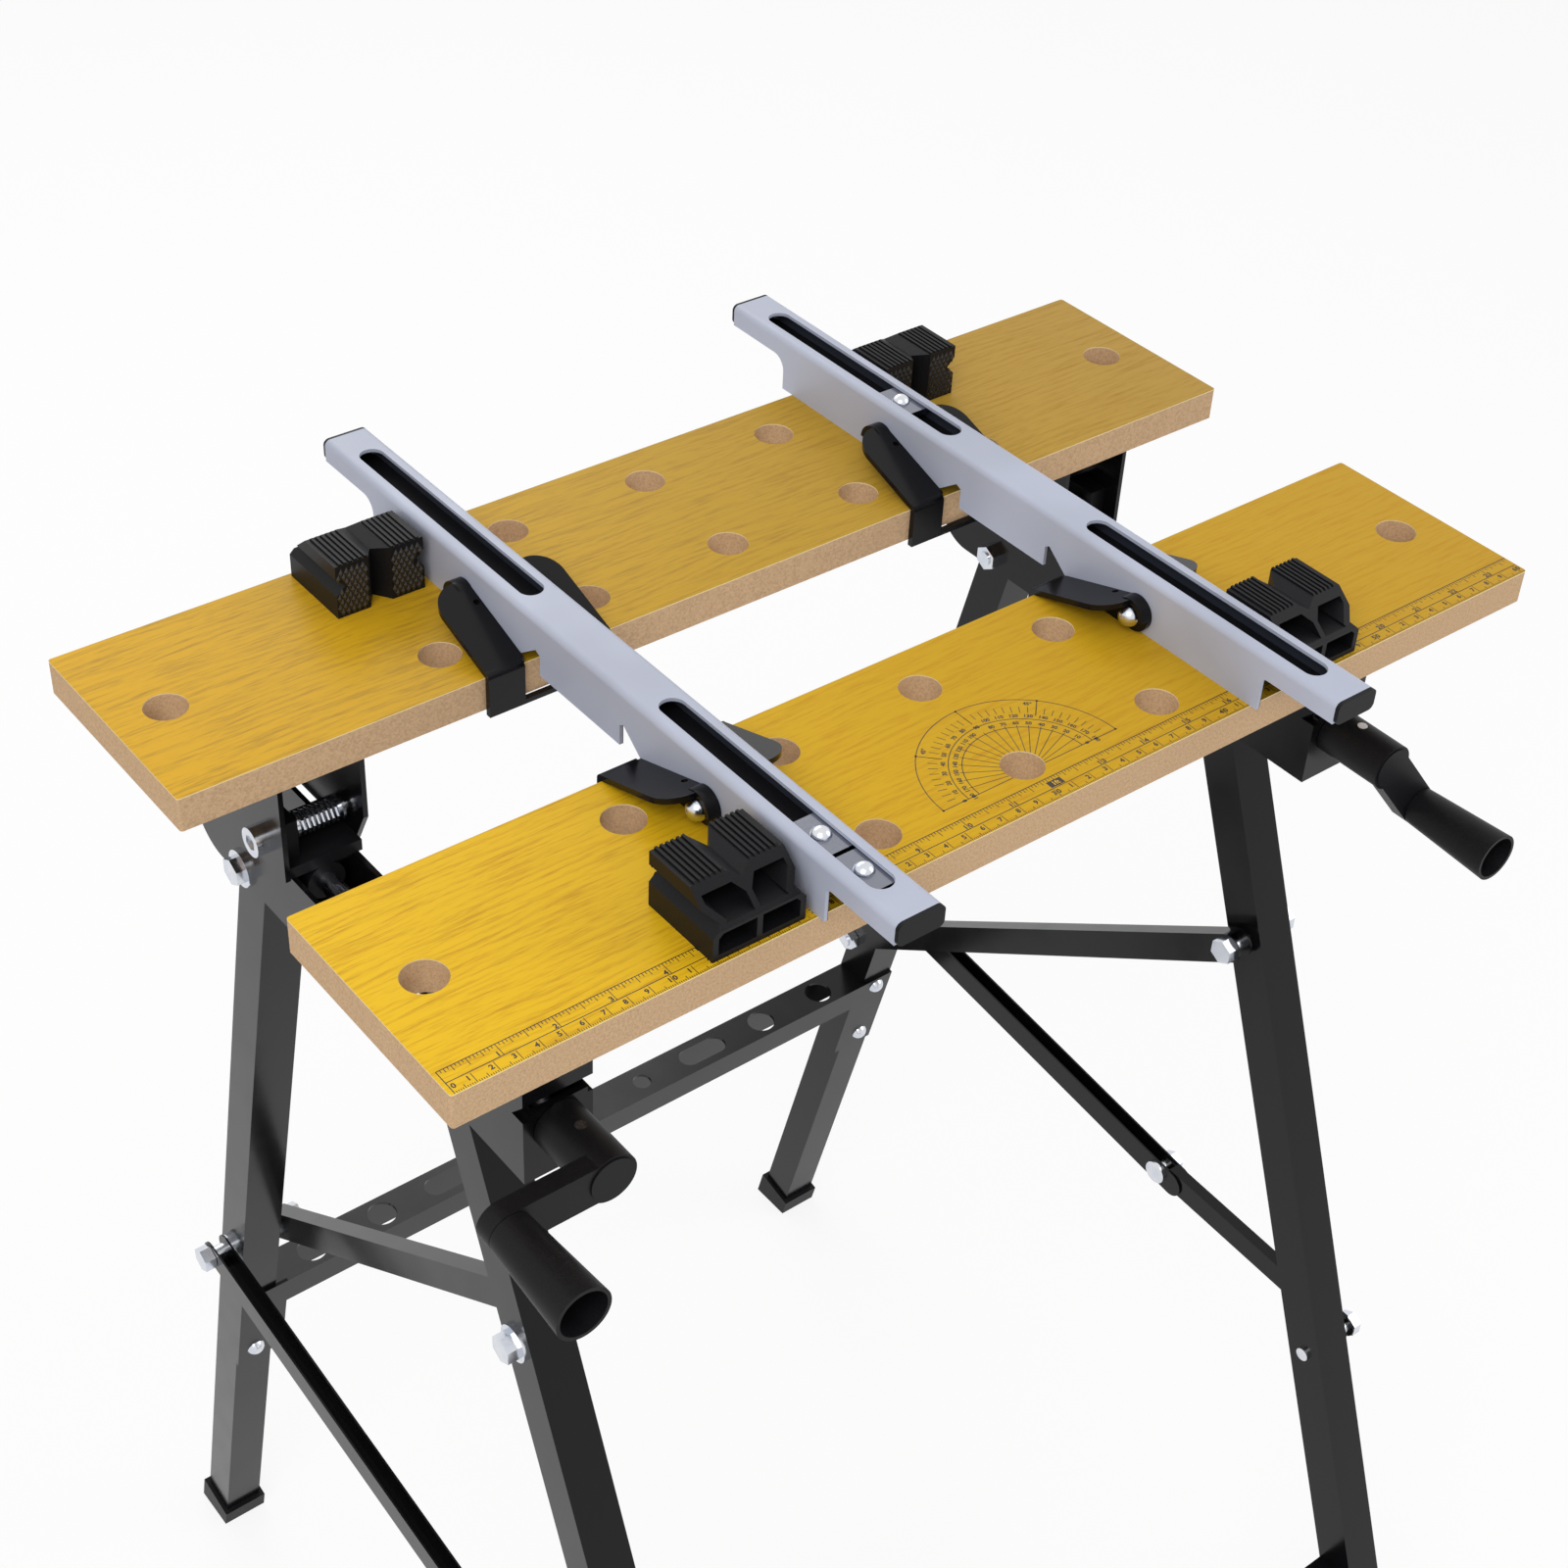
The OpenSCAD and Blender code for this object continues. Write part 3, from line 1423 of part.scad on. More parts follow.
front_jaw();
rear_jaw();
channel_left();
channel_right();
front_bracket_left();
front_bracket_right();
carriage_left();
carriage_right();
spindle_left();
spindle_right();
crank_left();
crank_right();
grip_left();
grip_right();
spindle_nut_left();
spindle_nut_right();
carriage_bolts();
bolt_springs();
front_leg_left();
front_leg_right();
rear_leg_left();
rear_leg_right();
front_feet();
rear_feet();
rear_stretcher();
stretcher_bolts();
front_crossbar();
strut_left();
strut_right();
strut_pins();
spreader_rear_left();
spreader_rear_right();
knuckle_bolts();
spreader_front_left();
spreader_front_right();
spreader_pins();
leg_pivot_bolts();
rear_link_bolts();
front_link_bolts();
rail_left();
rail_right();
rail_caps_left();
rail_caps_right();
lever_bolts_left();
lever_bolts_right();
lever_front_left_outer();
lever_front_left_inner();
lever_front_right_outer();
lever_front_right_inner();
lever_rear_left_outer();
lever_rear_left_inner();
lever_rear_right_outer();
lever_rear_right_inner();
slot_clamp_a();
slot_clamp_b();
slot_clamp_c();
dog_front_left();
dog_front_right();
dog_rear_left();
dog_rear_right();
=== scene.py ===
import json
from functools import lru_cache
from math import cos, pi, radians, sin, sqrt

import bmesh
import bpy
from mathutils import Euler, Matrix, Vector


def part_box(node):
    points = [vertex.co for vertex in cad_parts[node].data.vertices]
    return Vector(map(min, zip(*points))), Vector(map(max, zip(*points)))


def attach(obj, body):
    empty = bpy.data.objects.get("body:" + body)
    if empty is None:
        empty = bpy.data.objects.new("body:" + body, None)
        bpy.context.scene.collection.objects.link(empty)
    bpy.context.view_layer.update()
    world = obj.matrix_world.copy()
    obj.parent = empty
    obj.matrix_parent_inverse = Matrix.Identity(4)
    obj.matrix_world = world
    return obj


MM = 0.001

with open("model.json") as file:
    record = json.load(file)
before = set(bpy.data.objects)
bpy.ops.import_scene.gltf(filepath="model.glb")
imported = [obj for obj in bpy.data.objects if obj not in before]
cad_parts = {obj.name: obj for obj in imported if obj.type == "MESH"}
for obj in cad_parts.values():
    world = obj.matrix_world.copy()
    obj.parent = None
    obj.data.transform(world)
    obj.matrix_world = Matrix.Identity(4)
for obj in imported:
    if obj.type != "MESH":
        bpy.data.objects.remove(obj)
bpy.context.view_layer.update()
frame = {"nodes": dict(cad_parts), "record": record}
nodes = frame["nodes"]

# Top face of the front jaw: its left front corner is where the printed scales start
JAW_LOW, JAW_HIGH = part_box("front_jaw")
JAW_TOP = JAW_HIGH.z
JAW_LEFT = JAW_LOW.x
JAW_FRONT = JAW_LOW.y
JAW_LEN = JAW_HIGH.x - JAW_LOW.x

# Rails: the middle between them, half a rail's width, each one's reach from the middle, and the sheet
RAIL_LOW, RAIL_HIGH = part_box("rail_left")
RAIL_MIDDLE = (RAIL_LOW.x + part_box("rail_right")[1].x) / 2
RAIL_HALF = (RAIL_HIGH.x - RAIL_LOW.x) / 2
RAIL_REACH = RAIL_MIDDLE - RAIL_LOW.x - RAIL_HALF
RAIL_WALL = 2.0 * MM

# Camera that matches the photograph's view: place in metres, turns about X, Y and Z in degrees
CAMERA_PLACE = Vector((-0.63838, -0.71290, 1.44202))
CAMERA_TURNS = (51.6481, -2.4993, -38.0312)
SENSOR_MM = 36.0
FOCAL_MM = 59.35
CLIP_START = 0.05

# Studio: the floor's half width and look, the light all round, and where the lamps point
FLOOR_HALF = 6.0
FLOOR_COLOUR = (0.92, 0.92, 0.92, 1.0)
FLOOR_ROUGHNESS = 0.9
FLOOR_GLOW = 0.85
SOFT_STRENGTH = 0.55
WHITE_STRENGTH = 1.0
LAMP_TARGET = Vector((0.0, 0.0, 0.6))

# Base colours, in linear light
# The jaws' colours at their left end, middle and right end carry painted light: brightest at the left,
# nearest the key light, and darker towards the right
YELLOW_LEFT = (0.82, 0.50, 0.012, 1.0)
YELLOW_MIDDLE = (0.60, 0.35, 0.010, 1.0)
YELLOW_RIGHT = (0.55, 0.32, 0.024, 1.0)
YELLOW_DASH = (0.50, 0.24, 0.008, 1.0)
# The rear jaw's tans are the front jaw's yellows made darker, as painted shade, and a little browner
TAN_SHADED_LEFT = (0.69, 0.38, 0.005, 1.0)
TAN_SHADED_MIDDLE = (0.51, 0.30, 0.020, 1.0)
TAN_SHADED_RIGHT = (0.46, 0.28, 0.052, 1.0)
TAN_SHADED_DASH = (0.34, 0.18, 0.018, 1.0)
BOARD = (0.63, 0.43, 0.255, 1.0)
BOARD_DARK = (0.47, 0.305, 0.175, 1.0)
# Pale line at the top of the jaws' sides: the printed top's edge, with a painted highlight
EDGE_LINE_AND_HIGHLIGHT = (0.86, 0.72, 0.42, 1.0)
BLACK = (0.005, 0.005, 0.006, 1.0)
SILVER_BLUE = (0.47, 0.50, 0.61, 1.0)
# Painted shade for the faces inside the rails
RAIL_PAINTED_SHADE = (0.030, 0.035, 0.050, 1.0)
ZINC = (0.72, 0.73, 0.76, 1.0)
ZINC_BLUE = (0.62, 0.66, 0.74, 1.0)
PLATE_GREY = (0.24, 0.25, 0.29, 1.0)
INK = (0.016, 0.010, 0.005, 1.0)
WHITE = (1.0, 1.0, 1.0, 1.0)

# Places of the colour sockets on Blender's mix node
MIX_FACTOR = 0
MIX_FIRST = 6
MIX_SECOND = 7
MIX_RESULT = 2


def toned(colour, share):
    """A colour with each of its parts multiplied by a share."""
    red, green, blue, alpha = colour
    return (share * red, share * green, share * blue, alpha)


class Shader:
    """A material's node tree, with short calls that add and join its nodes."""

    def __init__(self, name):
        self.material = bpy.data.materials.new(name)
        self.material.use_nodes = True
        self.tree = self.material.node_tree
        self.surface = self.tree.nodes["Principled BSDF"]
        self.place = self.tree.nodes.new("ShaderNodeTexCoord").outputs["Object"]
        self.tone = None

    def add(self, kind, **settings):
        node = self.tree.nodes.new(kind)
        for key, value in settings.items():
            setattr(node, key, value)
        return node

    def join(self, source, target):
        self.tree.links.new(source, target)

    def feed(self, value, socket):
        """Sets a socket to a number or colour, or joins another node's output to it."""
        if isinstance(value, (int, float, tuple)):
            socket.default_value = value
        else:
            self.join(value, socket)

    def set(self, **values):
        """Numbers and colours that are the same all over the surface."""
        for key, value in values.items():
            self.surface.inputs[key.replace("_", " ")].default_value = value

    def colour(self, source):
        self.tone = source
        self.join(source, self.surface.inputs["Base Color"])

    def colour_part(self, where, colour):
        """Another colour on the part of the surface where the factor is 1."""
        self.colour(self.mix(where, self.tone, colour))

    def roughen(self, pattern, start, change):
        """Roughness that starts at one value and changes with a pattern."""
        offset = self.math("MULTIPLY", pattern, change)
        self.join(self.math("ADD", offset, start), self.surface.inputs["Roughness"])

    def bump(self, height, strength, distance):
        bump = self.add("ShaderNodeBump")
        bump.inputs["Strength"].default_value = strength
        bump.inputs["Distance"].default_value = distance
        self.join(height, bump.inputs["Height"])
        self.join(bump.outputs["Normal"], self.surface.inputs["Normal"])

    def scaled(self, scale):
        """The place on the surface, with a scale of its own along each axis."""
        mapping = self.add("ShaderNodeMapping")
        mapping.inputs["Scale"].default_value = scale
        self.join(self.place, mapping.inputs["Vector"])
        return mapping.outputs["Vector"]

    def axes(self, vector):
        """The outputs "X", "Y" and "Z" of a vector."""
        parts = self.add("ShaderNodeSeparateXYZ")
        self.join(vector, parts.inputs[0])
        return parts.outputs

    def facing(self):
        """The direction in which the surface looks."""
        return self.add("ShaderNodeNewGeometry").outputs["Normal"]

    def noise(self, vector, scale, detail=2.0, roughness=0.5):
        noise = self.add("ShaderNodeTexNoise")
        noise.inputs["Scale"].default_value = scale
        noise.inputs["Detail"].default_value = detail
        noise.inputs["Roughness"].default_value = roughness
        self.join(vector, noise.inputs["Vector"])
        return noise.outputs["Fac"]

    def grain(self, along, across, scales):
        """Noise that is drawn out along the jaw, with one scale along it and one across."""
        place = self.add("ShaderNodeCombineXYZ")
        self.join(self.math("MULTIPLY", along, scales[0]), place.inputs["X"])
        self.join(self.math("MULTIPLY", across, scales[1]), place.inputs["Y"])
        return self.noise(place.outputs["Vector"], scale=1.0, roughness=0.55)

    def ramp(self, factor, stops):
        ramp = self.add("ShaderNodeValToRGB")
        elements = ramp.color_ramp.elements
        while len(elements) < len(stops):
            elements.new(0.5)
        for element, (position, colour) in zip(elements, stops):
            element.position = position
            element.color = colour
        self.join(factor, ramp.inputs["Fac"])
        return ramp.outputs["Color"]

    def mix(self, factor, first, second):
        mix = self.add("ShaderNodeMix", data_type="RGBA")
        self.join(factor, mix.inputs[MIX_FACTOR])
        self.feed(first, mix.inputs[MIX_FIRST])
        self.feed(second, mix.inputs[MIX_SECOND])
        return mix.outputs[MIX_RESULT]

    def math(self, operation, first, second=0.0):
        node = self.add("ShaderNodeMath", operation=operation)
        self.feed(first, node.inputs[0])
        self.feed(second, node.inputs[1])
        return node.outputs[0]


# Printed wood on the jaws: scales per metre along and across, and where the dark dashes start to show
WAVE_SCALES = (14.0, 30.0, 1.0)
WAVE_SWAY = 6.0 * MM
STREAK_SCALES = (26.0, 480.0)
DASH_SCALES = (120.0, 1900.0)
STREAK_SHARE = 0.6
DASH_SHARE = 0.4
DASH_START = 0.47
DASH_FULL = 0.66
DASH_COVER = 0.75

# Raw pressed board on the jaws' sides, its pale upper rim, which is the printed top's edge with a painted
# highlight along it, and what counts as the printed top
FIBRE_SCALE = 900.0
FIBRE_DARK = 0.33
FIBRE_PALE = 0.60
RIM_H = 0.5 * MM
LEVEL_SHARE = 0.8
BOARD_ROUGHNESS = 0.85
TOP_ROUGHNESS = 0.40


def jaw_material(name, left, middle, right, dash):
    """Pressed board with a printed wood look on top: wavy streaks and fine dashes along the jaw, over a
    colour with painted light, brightest at the left end and darker towards the right.
    """
    shader = Shader(name)
    place = shader.axes(shader.place)
    reach = shader.math("DIVIDE", shader.math("SUBTRACT", place["X"], JAW_LEFT), JAW_LEN)
    # Painted light along the jaw: brightest at the left end, darker towards the right
    base = shader.ramp(reach, [(0.0, left), (0.5, middle), (1.0, right)])
    waves = shader.noise(shader.scaled(WAVE_SCALES), scale=1.0, detail=1.0)
    sway = shader.math("ADD", place["Y"], shader.math("MULTIPLY", waves, WAVE_SWAY))
    streaks = shader.math("MULTIPLY", shader.grain(place["X"], sway, STREAK_SCALES), STREAK_SHARE)
    dashes = shader.math("MULTIPLY", shader.grain(place["X"], sway, DASH_SCALES), DASH_SHARE)
    depth = shader.math("ADD", streaks, dashes)
    shown = shader.ramp(depth, [(DASH_START, toned(WHITE, 0.0)), (DASH_FULL, toned(WHITE, DASH_COVER))])
    print_colour = shader.mix(shown, base, dash)
    fibre = shader.noise(shader.place, scale=FIBRE_SCALE, detail=3.0, roughness=0.7)
    board_colour = shader.ramp(fibre, [(FIBRE_DARK, BOARD_DARK), (FIBRE_PALE, BOARD)])
    # Painted highlight along the top edge of the sides, over the printed top's pale edge
    rim = shader.math("GREATER_THAN", place["Z"], JAW_TOP - RIM_H)
    side_colour = shader.mix(rim, board_colour, EDGE_LINE_AND_HIGHLIGHT)
    level = shader.math("GREATER_THAN", shader.axes(shader.facing())["Z"], LEVEL_SHARE)
    shader.colour(shader.mix(level, side_colour, print_colour))
    shader.roughen(level, start=BOARD_ROUGHNESS, change=TOP_ROUGHNESS - BOARD_ROUGHNESS)
    shader.set(Specular_IOR_Level=0.12)
    shader.bump(shader.math("ADD", fibre, waves), strength=0.10, distance=0.2 * MM)
    return shader.material


# Powder coat: wide patches of a darker tone, smears that change the gloss, and orange peel
PATCH_SCALE = 14.0
PATCH_TONE = 0.86
PATCH_DARK = 0.35
PATCH_PALE = 0.65
SMEAR_SCALE = 45.0
SMEAR_CHANGE = 0.16
PEEL_DEPTH = 0.05 * MM

# How far the painted shade inside a rail reaches past the inner faces, so that these lie wholly in it
RAIL_HAIR = 0.3 * MM


def paint_shader(name, colour, roughness, sheen, peel_scale, peel):
    shader = Shader(name)
    patches = shader.noise(shader.place, scale=PATCH_SCALE)
    shader.colour(shader.ramp(patches, [(PATCH_DARK, toned(colour, PATCH_TONE)), (PATCH_PALE, colour)]))
    smears = shader.noise(shader.place, scale=SMEAR_SCALE, detail=3.0)
    shader.roughen(smears, start=roughness - SMEAR_CHANGE / 2, change=SMEAR_CHANGE)
    shader.set(Specular_IOR_Level=sheen)
    shader.bump(shader.noise(shader.place, scale=peel_scale), strength=peel, distance=PEEL_DEPTH)
    return shader


def black_coat_material():
    shader = paint_shader("black_powder_coat", BLACK, roughness=0.20, sheen=0.20,
                          peel_scale=650.0, peel=0.22)
    return shader.material


def rail_material():
    """Silver powder coat outside, and painted shade on the faces inside a rail."""
    shader = paint_shader("silver_rail_coat", SILVER_BLUE, roughness=0.42, sheen=0.45,
                          peel_scale=900.0, peel=0.18)
    place = shader.axes(shader.place)
    from_middle = shader.math("ABSOLUTE", shader.math("SUBTRACT", place["X"], RAIL_MIDDLE))
    from_rail = shader.math("ABSOLUTE", shader.math("SUBTRACT", from_middle, RAIL_REACH))
    between = shader.math("LESS_THAN", from_rail, RAIL_HALF - RAIL_WALL + RAIL_HAIR)
    below = shader.math("LESS_THAN", place["Z"], RAIL_HIGH.z - RAIL_WALL + RAIL_HAIR)
    # Painted shade on the faces inside the rail, under its top wall
    shader.colour_part(shader.math("MULTIPLY", between, below), RAIL_PAINTED_SHADE)
    return shader.material


# Moulded plastic: a fine grain that shows in the tone, the gloss and the surface
GRAIN_SCALE = 1600.0
GRAIN_TONE = 1.9
GRAIN_DARK = 0.4
GRAIN_PALE = 0.75


def plastic_material(name, roughness, sheen):
    shader = Shader(name)
    grain = shader.noise(shader.place, scale=GRAIN_SCALE)
    shader.colour(shader.ramp(grain, [(GRAIN_DARK, BLACK), (GRAIN_PALE, toned(BLACK, GRAIN_TONE))]))
    shader.roughen(grain, start=roughness, change=0.2)
    shader.set(Specular_IOR_Level=sheen)
    shader.bump(grain, strength=0.35, distance=0.12 * MM)
    return shader.material


# Zinc plating: a bluish tint in patches, and fine scratches
TINT_SCALE = 120.0
TINT_BLUE = 0.35
TINT_PALE = 0.65
SCRATCH_SCALE = 700.0

# Height above the clamp plate's top at which its dome screws start
SCREW_HAIR = 0.1 * MM


def zinc_shader(name, roughness):
    shader = Shader(name)
    tint = shader.noise(shader.place, scale=TINT_SCALE)
    shader.colour(shader.ramp(tint, [(TINT_BLUE, ZINC_BLUE), (TINT_PALE, ZINC)]))
    shader.set(Metallic=1.0)
    scratches = shader.noise(shader.place, scale=SCRATCH_SCALE, detail=3.0)
    shader.roughen(scratches, start=roughness, change=0.2)
    shader.bump(scratches, strength=0.08, distance=0.05 * MM)
    return shader


def zinc_material():
    return zinc_shader("bright_zinc", roughness=0.12).material


def slot_plate_material():
    """Bright dome screws on a grey plate that lies under the rail's top."""
    shader = zinc_shader("slot_plate_zinc", roughness=0.10)
    height = shader.axes(shader.place)["Z"]
    plate = shader.math("LESS_THAN", height, RAIL_HIGH.z - RAIL_WALL + SCREW_HAIR)
    shader.colour_part(plate, PLATE_GREY)
    return shader.material


# Printing ink, worn to a paler tone in small spots
WEAR_SCALE = 900.0
WEAR_TONE = 1.5
WEAR_START = 0.45
WEAR_FULL = 0.75


def ink_material(name, colour):
    shader = Shader(name)
    wear = shader.noise(shader.place, scale=WEAR_SCALE)
    shader.colour(shader.ramp(wear, [(WEAR_START, colour), (WEAR_FULL, toned(colour, WEAR_TONE))]))
    shader.set(Roughness=0.45)
    return shader.material


MATERIALS = {
    "jaw_wood": jaw_material("front_jaw_board", YELLOW_LEFT, YELLOW_MIDDLE, YELLOW_RIGHT, YELLOW_DASH),
    "black_paint": black_coat_material(),
    "silver_paint": rail_material(),
    "black_plastic": plastic_material("black_plastic", roughness=0.36, sheen=0.16),
    "zinc": zinc_material(),
}
SLOT_PLATE = slot_plate_material()
STUD_PLASTIC = plastic_material("polished_studs", roughness=0.14, sheen=0.75)
NODE_MATERIALS = {
    # The rear jaw gets the darker tans: painted shade, with a little more brown
    "rear_jaw": jaw_material("rear_jaw_board", TAN_SHADED_LEFT, TAN_SHADED_MIDDLE, TAN_SHADED_RIGHT, TAN_SHADED_DASH),
    "slot_clamp_a": SLOT_PLATE,
    "slot_clamp_b": SLOT_PLATE,
    "slot_clamp_c": SLOT_PLATE,
}


def dress_frame():
    """Each CAD node gets a material of its own, or else the one of its slot."""
    for subpart in frame["record"]["subparts"]:
        node = subpart["node"]
        mesh = nodes[node].data
        mesh.materials.clear()
        mesh.materials.append(NODE_MATERIALS.get(node, MATERIALS[subpart["material_slot"]]))


def mesh_object(name, points, faces, material):
    mesh = bpy.data.meshes.new(name)
    mesh.from_pydata(points, [], faces)
    mesh.validate()
    mesh.update()
    mesh.materials.append(material)
    piece = bpy.data.objects.new(name, mesh)
    bpy.context.scene.collection.objects.link(piece)
    return piece


# Print on the front jaw, in millimetres from its left front corner
INK_LIFT = 0.03
TICK_W = 0.32
LINE_W = 0.4
SCALE_LEFT = 2.1
SCALE_RIGHT = 604.4
SCALE_FRONT = 0.3
DIVIDER_Y = 6.7
SCALE_BACK = 13.5
TEN = 10

# Centimetre scale: where its ticks end, and how far its digits stand aside of them
CENTIMETRE = 10
MM_TICK_END = 1.3
HALF_TICK_END = 2.5
CM_TICK_END = 6.0
CM_DIGIT_H = 2.5
CM_DIGIT_Y = 4.15
CM_DIGIT_ASIDE = 1.9
CM_PAIR_ASIDE = 1.25
ZERO_ASIDE = 1.65

# Inch scale: depths of the ticks for whole numbers of 1, 2, 4 and 8 sixteenths, and the foot's box
INCH = 25.4
INCH_PARTS = 16
INCH_TICK_DEPTHS = {1: 1.5, 2: 2.1, 4: 3.0, 8: 3.9}
INCH_DIGIT_H = 2.5
INCH_DIGIT_Y = 8.5
INCH_DIGIT_ASIDE = 1.6
INCH_PAIR_ASIDE = 1.3
FOOT = 12
FOOT_BOX = (302.25, 7.25, 310.0, 11.25)

# Protractor: its centre, radii of arcs, ticks and rows of digits, and steps and turns in degrees
ARC_CENTRE = (303.9, 21.9)
ARC_R = 49.5
MIDDLE_ARC_R = 35.5
INNER_ARC_R = 29.6
ARC_DOT_R = 0.6
TICK_INNER_R = 40.0
TICK_OUTER_R = 44.3
LONG_TICK_INNER_R = 38.3
HOLE_TICK_OUTER_R = 31.0
ARC_DIGIT_H = 2.0
OUTER_DIGIT_R = 37.8
INNER_DIGIT_R = 32.6
MIDDLE_DIGIT_R = 35.6
DEGREE_MARK_R = 46.8
TICK_STEP = 5
DIGIT_STEP = 10
EIGHTH_TURN = 45
QUARTER_TURN = 90
HALF_TURN = 180

# Middle hole of the jaw, which cuts the protractor's lines short
HOLE_CENTRE = (302.5, 26.0)
HOLE_R = 9.9

# Letters: a digit's height as a share of the font's size, how far bold outlines grow, steps in a curve
DIGIT_SHARE = 0.70
BOLD_SHARE = 0.035
LETTER_STEPS = 3


@lru_cache(maxsize=None)
def word_shape(word, digit_h):
    """Points and faces of a word's letters as thin closed prisms, its middle at the origin."""
    curve = bpy.data.curves.new("digits", "FONT")
    curve.body = word
    curve.size = digit_h / DIGIT_SHARE
    curve.offset = BOLD_SHARE * curve.size
    curve.resolution_u = LETTER_STEPS
    curve.align_x = "CENTER"
    curve.extrude = INK_LIFT / 2
    text = bpy.data.objects.new("digits", curve)
    mesh = bpy.data.meshes.new_from_object(text)
    shape = bmesh.new()
    shape.from_mesh(mesh)
    bmesh.ops.remove_doubles(shape, verts=shape.verts, dist=INK_LIFT / 100)
    shape.verts.index_update()
    points = [(v.co.x, v.co.y - digit_h / 2, v.co.z + INK_LIFT / 2) for v in shape.verts]
    faces = [tuple(v.index for v in face.verts) for face in shape.faces]
    shape.free()
    bpy.data.objects.remove(text)
    bpy.data.curves.remove(curve)
    bpy.data.meshes.remove(mesh)
    return points, faces


def around(centre, radius, turn):
    """A point on a circle, turned from the circle's right end."""
    return (centre[0] + radius * cos(turn), centre[1] + radius * sin(turn))


def polar(radius, turn):
    """A point of the protractor."""
    return around(ARC_CENTRE, radius, turn)


def hole_edge(turn):
    """How far the middle hole's edge lies from the protractor's centre, in one direction."""
    dx = HOLE_CENTRE[0] - ARC_CENTRE[0]
    dy = HOLE_CENTRE[1] - ARC_CENTRE[1]
    along = dx * cos(turn) + dy * sin(turn)
    aside = dx * sin(turn) - dy * cos(turn)
    return along + sqrt(HOLE_R ** 2 - aside ** 2)


class Print:
    """Thin closed shapes of one ink on the front jaw."""

    def __init__(self):
        self.points = []
        self.faces = []

    def add(self, points, faces):
        start = len(self.points)
        self.points += [(JAW_LEFT + x * MM, JAW_FRONT + y * MM, JAW_TOP + z * MM) for x, y, z in points]
        self.faces += [tuple(start + index for index in face) for face in faces]

    def outline(self, corners):
        """A prism over an outline whose corners run anticlockwise."""
        count = len(corners)
        points = [(x, y, z) for z in (0.0, INK_LIFT) for x, y in corners]
        faces = [tuple(reversed(range(count))), tuple(range(count, 2 * count))]
        for first in range(count):
            second = (first + 1) % count
            faces.append((first, second, second + count, first + count))
        self.add(points, faces)

    def box(self, left, front, right, back):
        self.outline([(left, front), (right, front), (right, back), (left, back)])

    def upright(self, x, front, back, width=TICK_W):
        self.box(x - width / 2, front, x + width / 2, back)

    def line(self, start, end, width):
        start = Vector(start)
        end = Vector(end)
        along = (end - start).normalized() * width / 2
        side = Vector((-along.y, along.x))
        self.outline([start - side, end - side, end + side, start + side])

    def spoke(self, turn, inner, outer, width):
        self.line(polar(inner, turn), polar(outer, turn), width)

    def arc(self, radius, width, steps=90):
        """Half a circle round the protractor's centre."""
        turns = [pi * step / steps for step in range(steps + 1)]
        outer = [polar(radius + width / 2, turn) for turn in turns]
        inner = [polar(radius - width / 2, turn) for turn in reversed(turns)]
        self.outline(outer + inner)

    def dot(self, centre, radius, steps=16):
        self.outline([around(centre, radius, 2 * pi * step / steps) for step in range(steps)])

    def word(self, word, centre, digit_h, turn=0.0, lift=0.0):
        points, faces = word_shape(word, digit_h)
        cosine = cos(turn)
        sine = sin(turn)
        placed = []
        for x, y, z in points:
            along = cosine * x - sine * y
            across = sine * x + cosine * y
            placed.append((centre[0] + along, centre[1] + across, z + lift))
        self.add(placed, faces)

    def pair(self, count, x, y, aside, digit_h):
        """The tens of a number on the left of a line, and the ones on the right."""
        self.word(str(count // TEN), (x - aside, y), digit_h)
        self.word(str(count % TEN), (x + aside, y), digit_h)

    def piece(self, name, material):
        piece = mesh_object(name, self.points, self.faces, material)
        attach(piece, "bench")


def tick_end(step):
    """Where the tick of a millimetre ends: at whole and half centimetres it reaches further."""
    if step % CENTIMETRE == 0:
        return CM_TICK_END
    if step % (CENTIMETRE // 2) == 0:
        return HALF_TICK_END
    return MM_TICK_END


def print_centimetres(ink):
    for step in range(1, int(SCALE_RIGHT - SCALE_LEFT) + 1):
        ink.upright(SCALE_LEFT + step, SCALE_FRONT, tick_end(step))
    ink.word("0", (SCALE_LEFT + ZERO_ASIDE, CM_DIGIT_Y), CM_DIGIT_H)
    for count in range(1, int((SCALE_RIGHT - SCALE_LEFT) / CENTIMETRE) + 1):
        x = SCALE_LEFT + CENTIMETRE * count
        if count % TEN == 0:
            ink.pair(count, x, CM_DIGIT_Y, CM_PAIR_ASIDE, CM_DIGIT_H)
        else:
            ink.word(str(count % TEN), (x - CM_DIGIT_ASIDE, CM_DIGIT_Y), CM_DIGIT_H)


def print_inches(ink, cut_out):
    """The scale in ink, with a box at one foot whose word has the jaw's own colour."""
    for step in range(1, int(INCH_PARTS * (SCALE_RIGHT - SCALE_LEFT) / INCH) + 1):
        x = SCALE_LEFT + step * INCH / INCH_PARTS
        if step % INCH_PARTS == 0:
            ink.upright(x, DIVIDER_Y, SCALE_BACK)
        else:
            largest_part = step & -step
            ink.upright(x, SCALE_BACK - INCH_TICK_DEPTHS[largest_part], SCALE_BACK)
    for count in range(1, int((SCALE_RIGHT - SCALE_LEFT) / INCH) + 1):
        x = SCALE_LEFT + count * INCH
        if count == FOOT:
            left, front, right, back = FOOT_BOX
            ink.box(left, front, right, back)
            cut_out.word("1ft", ((left + right) / 2, (front + back) / 2), INCH_DIGIT_H, lift=INK_LIFT)
        elif count >= TEN:
            ink.pair(count, x, INCH_DIGIT_Y, INCH_PAIR_ASIDE, INCH_DIGIT_H)
        else:
            ink.word(str(count), (x - INCH_DIGIT_ASIDE, INCH_DIGIT_Y), INCH_DIGIT_H)


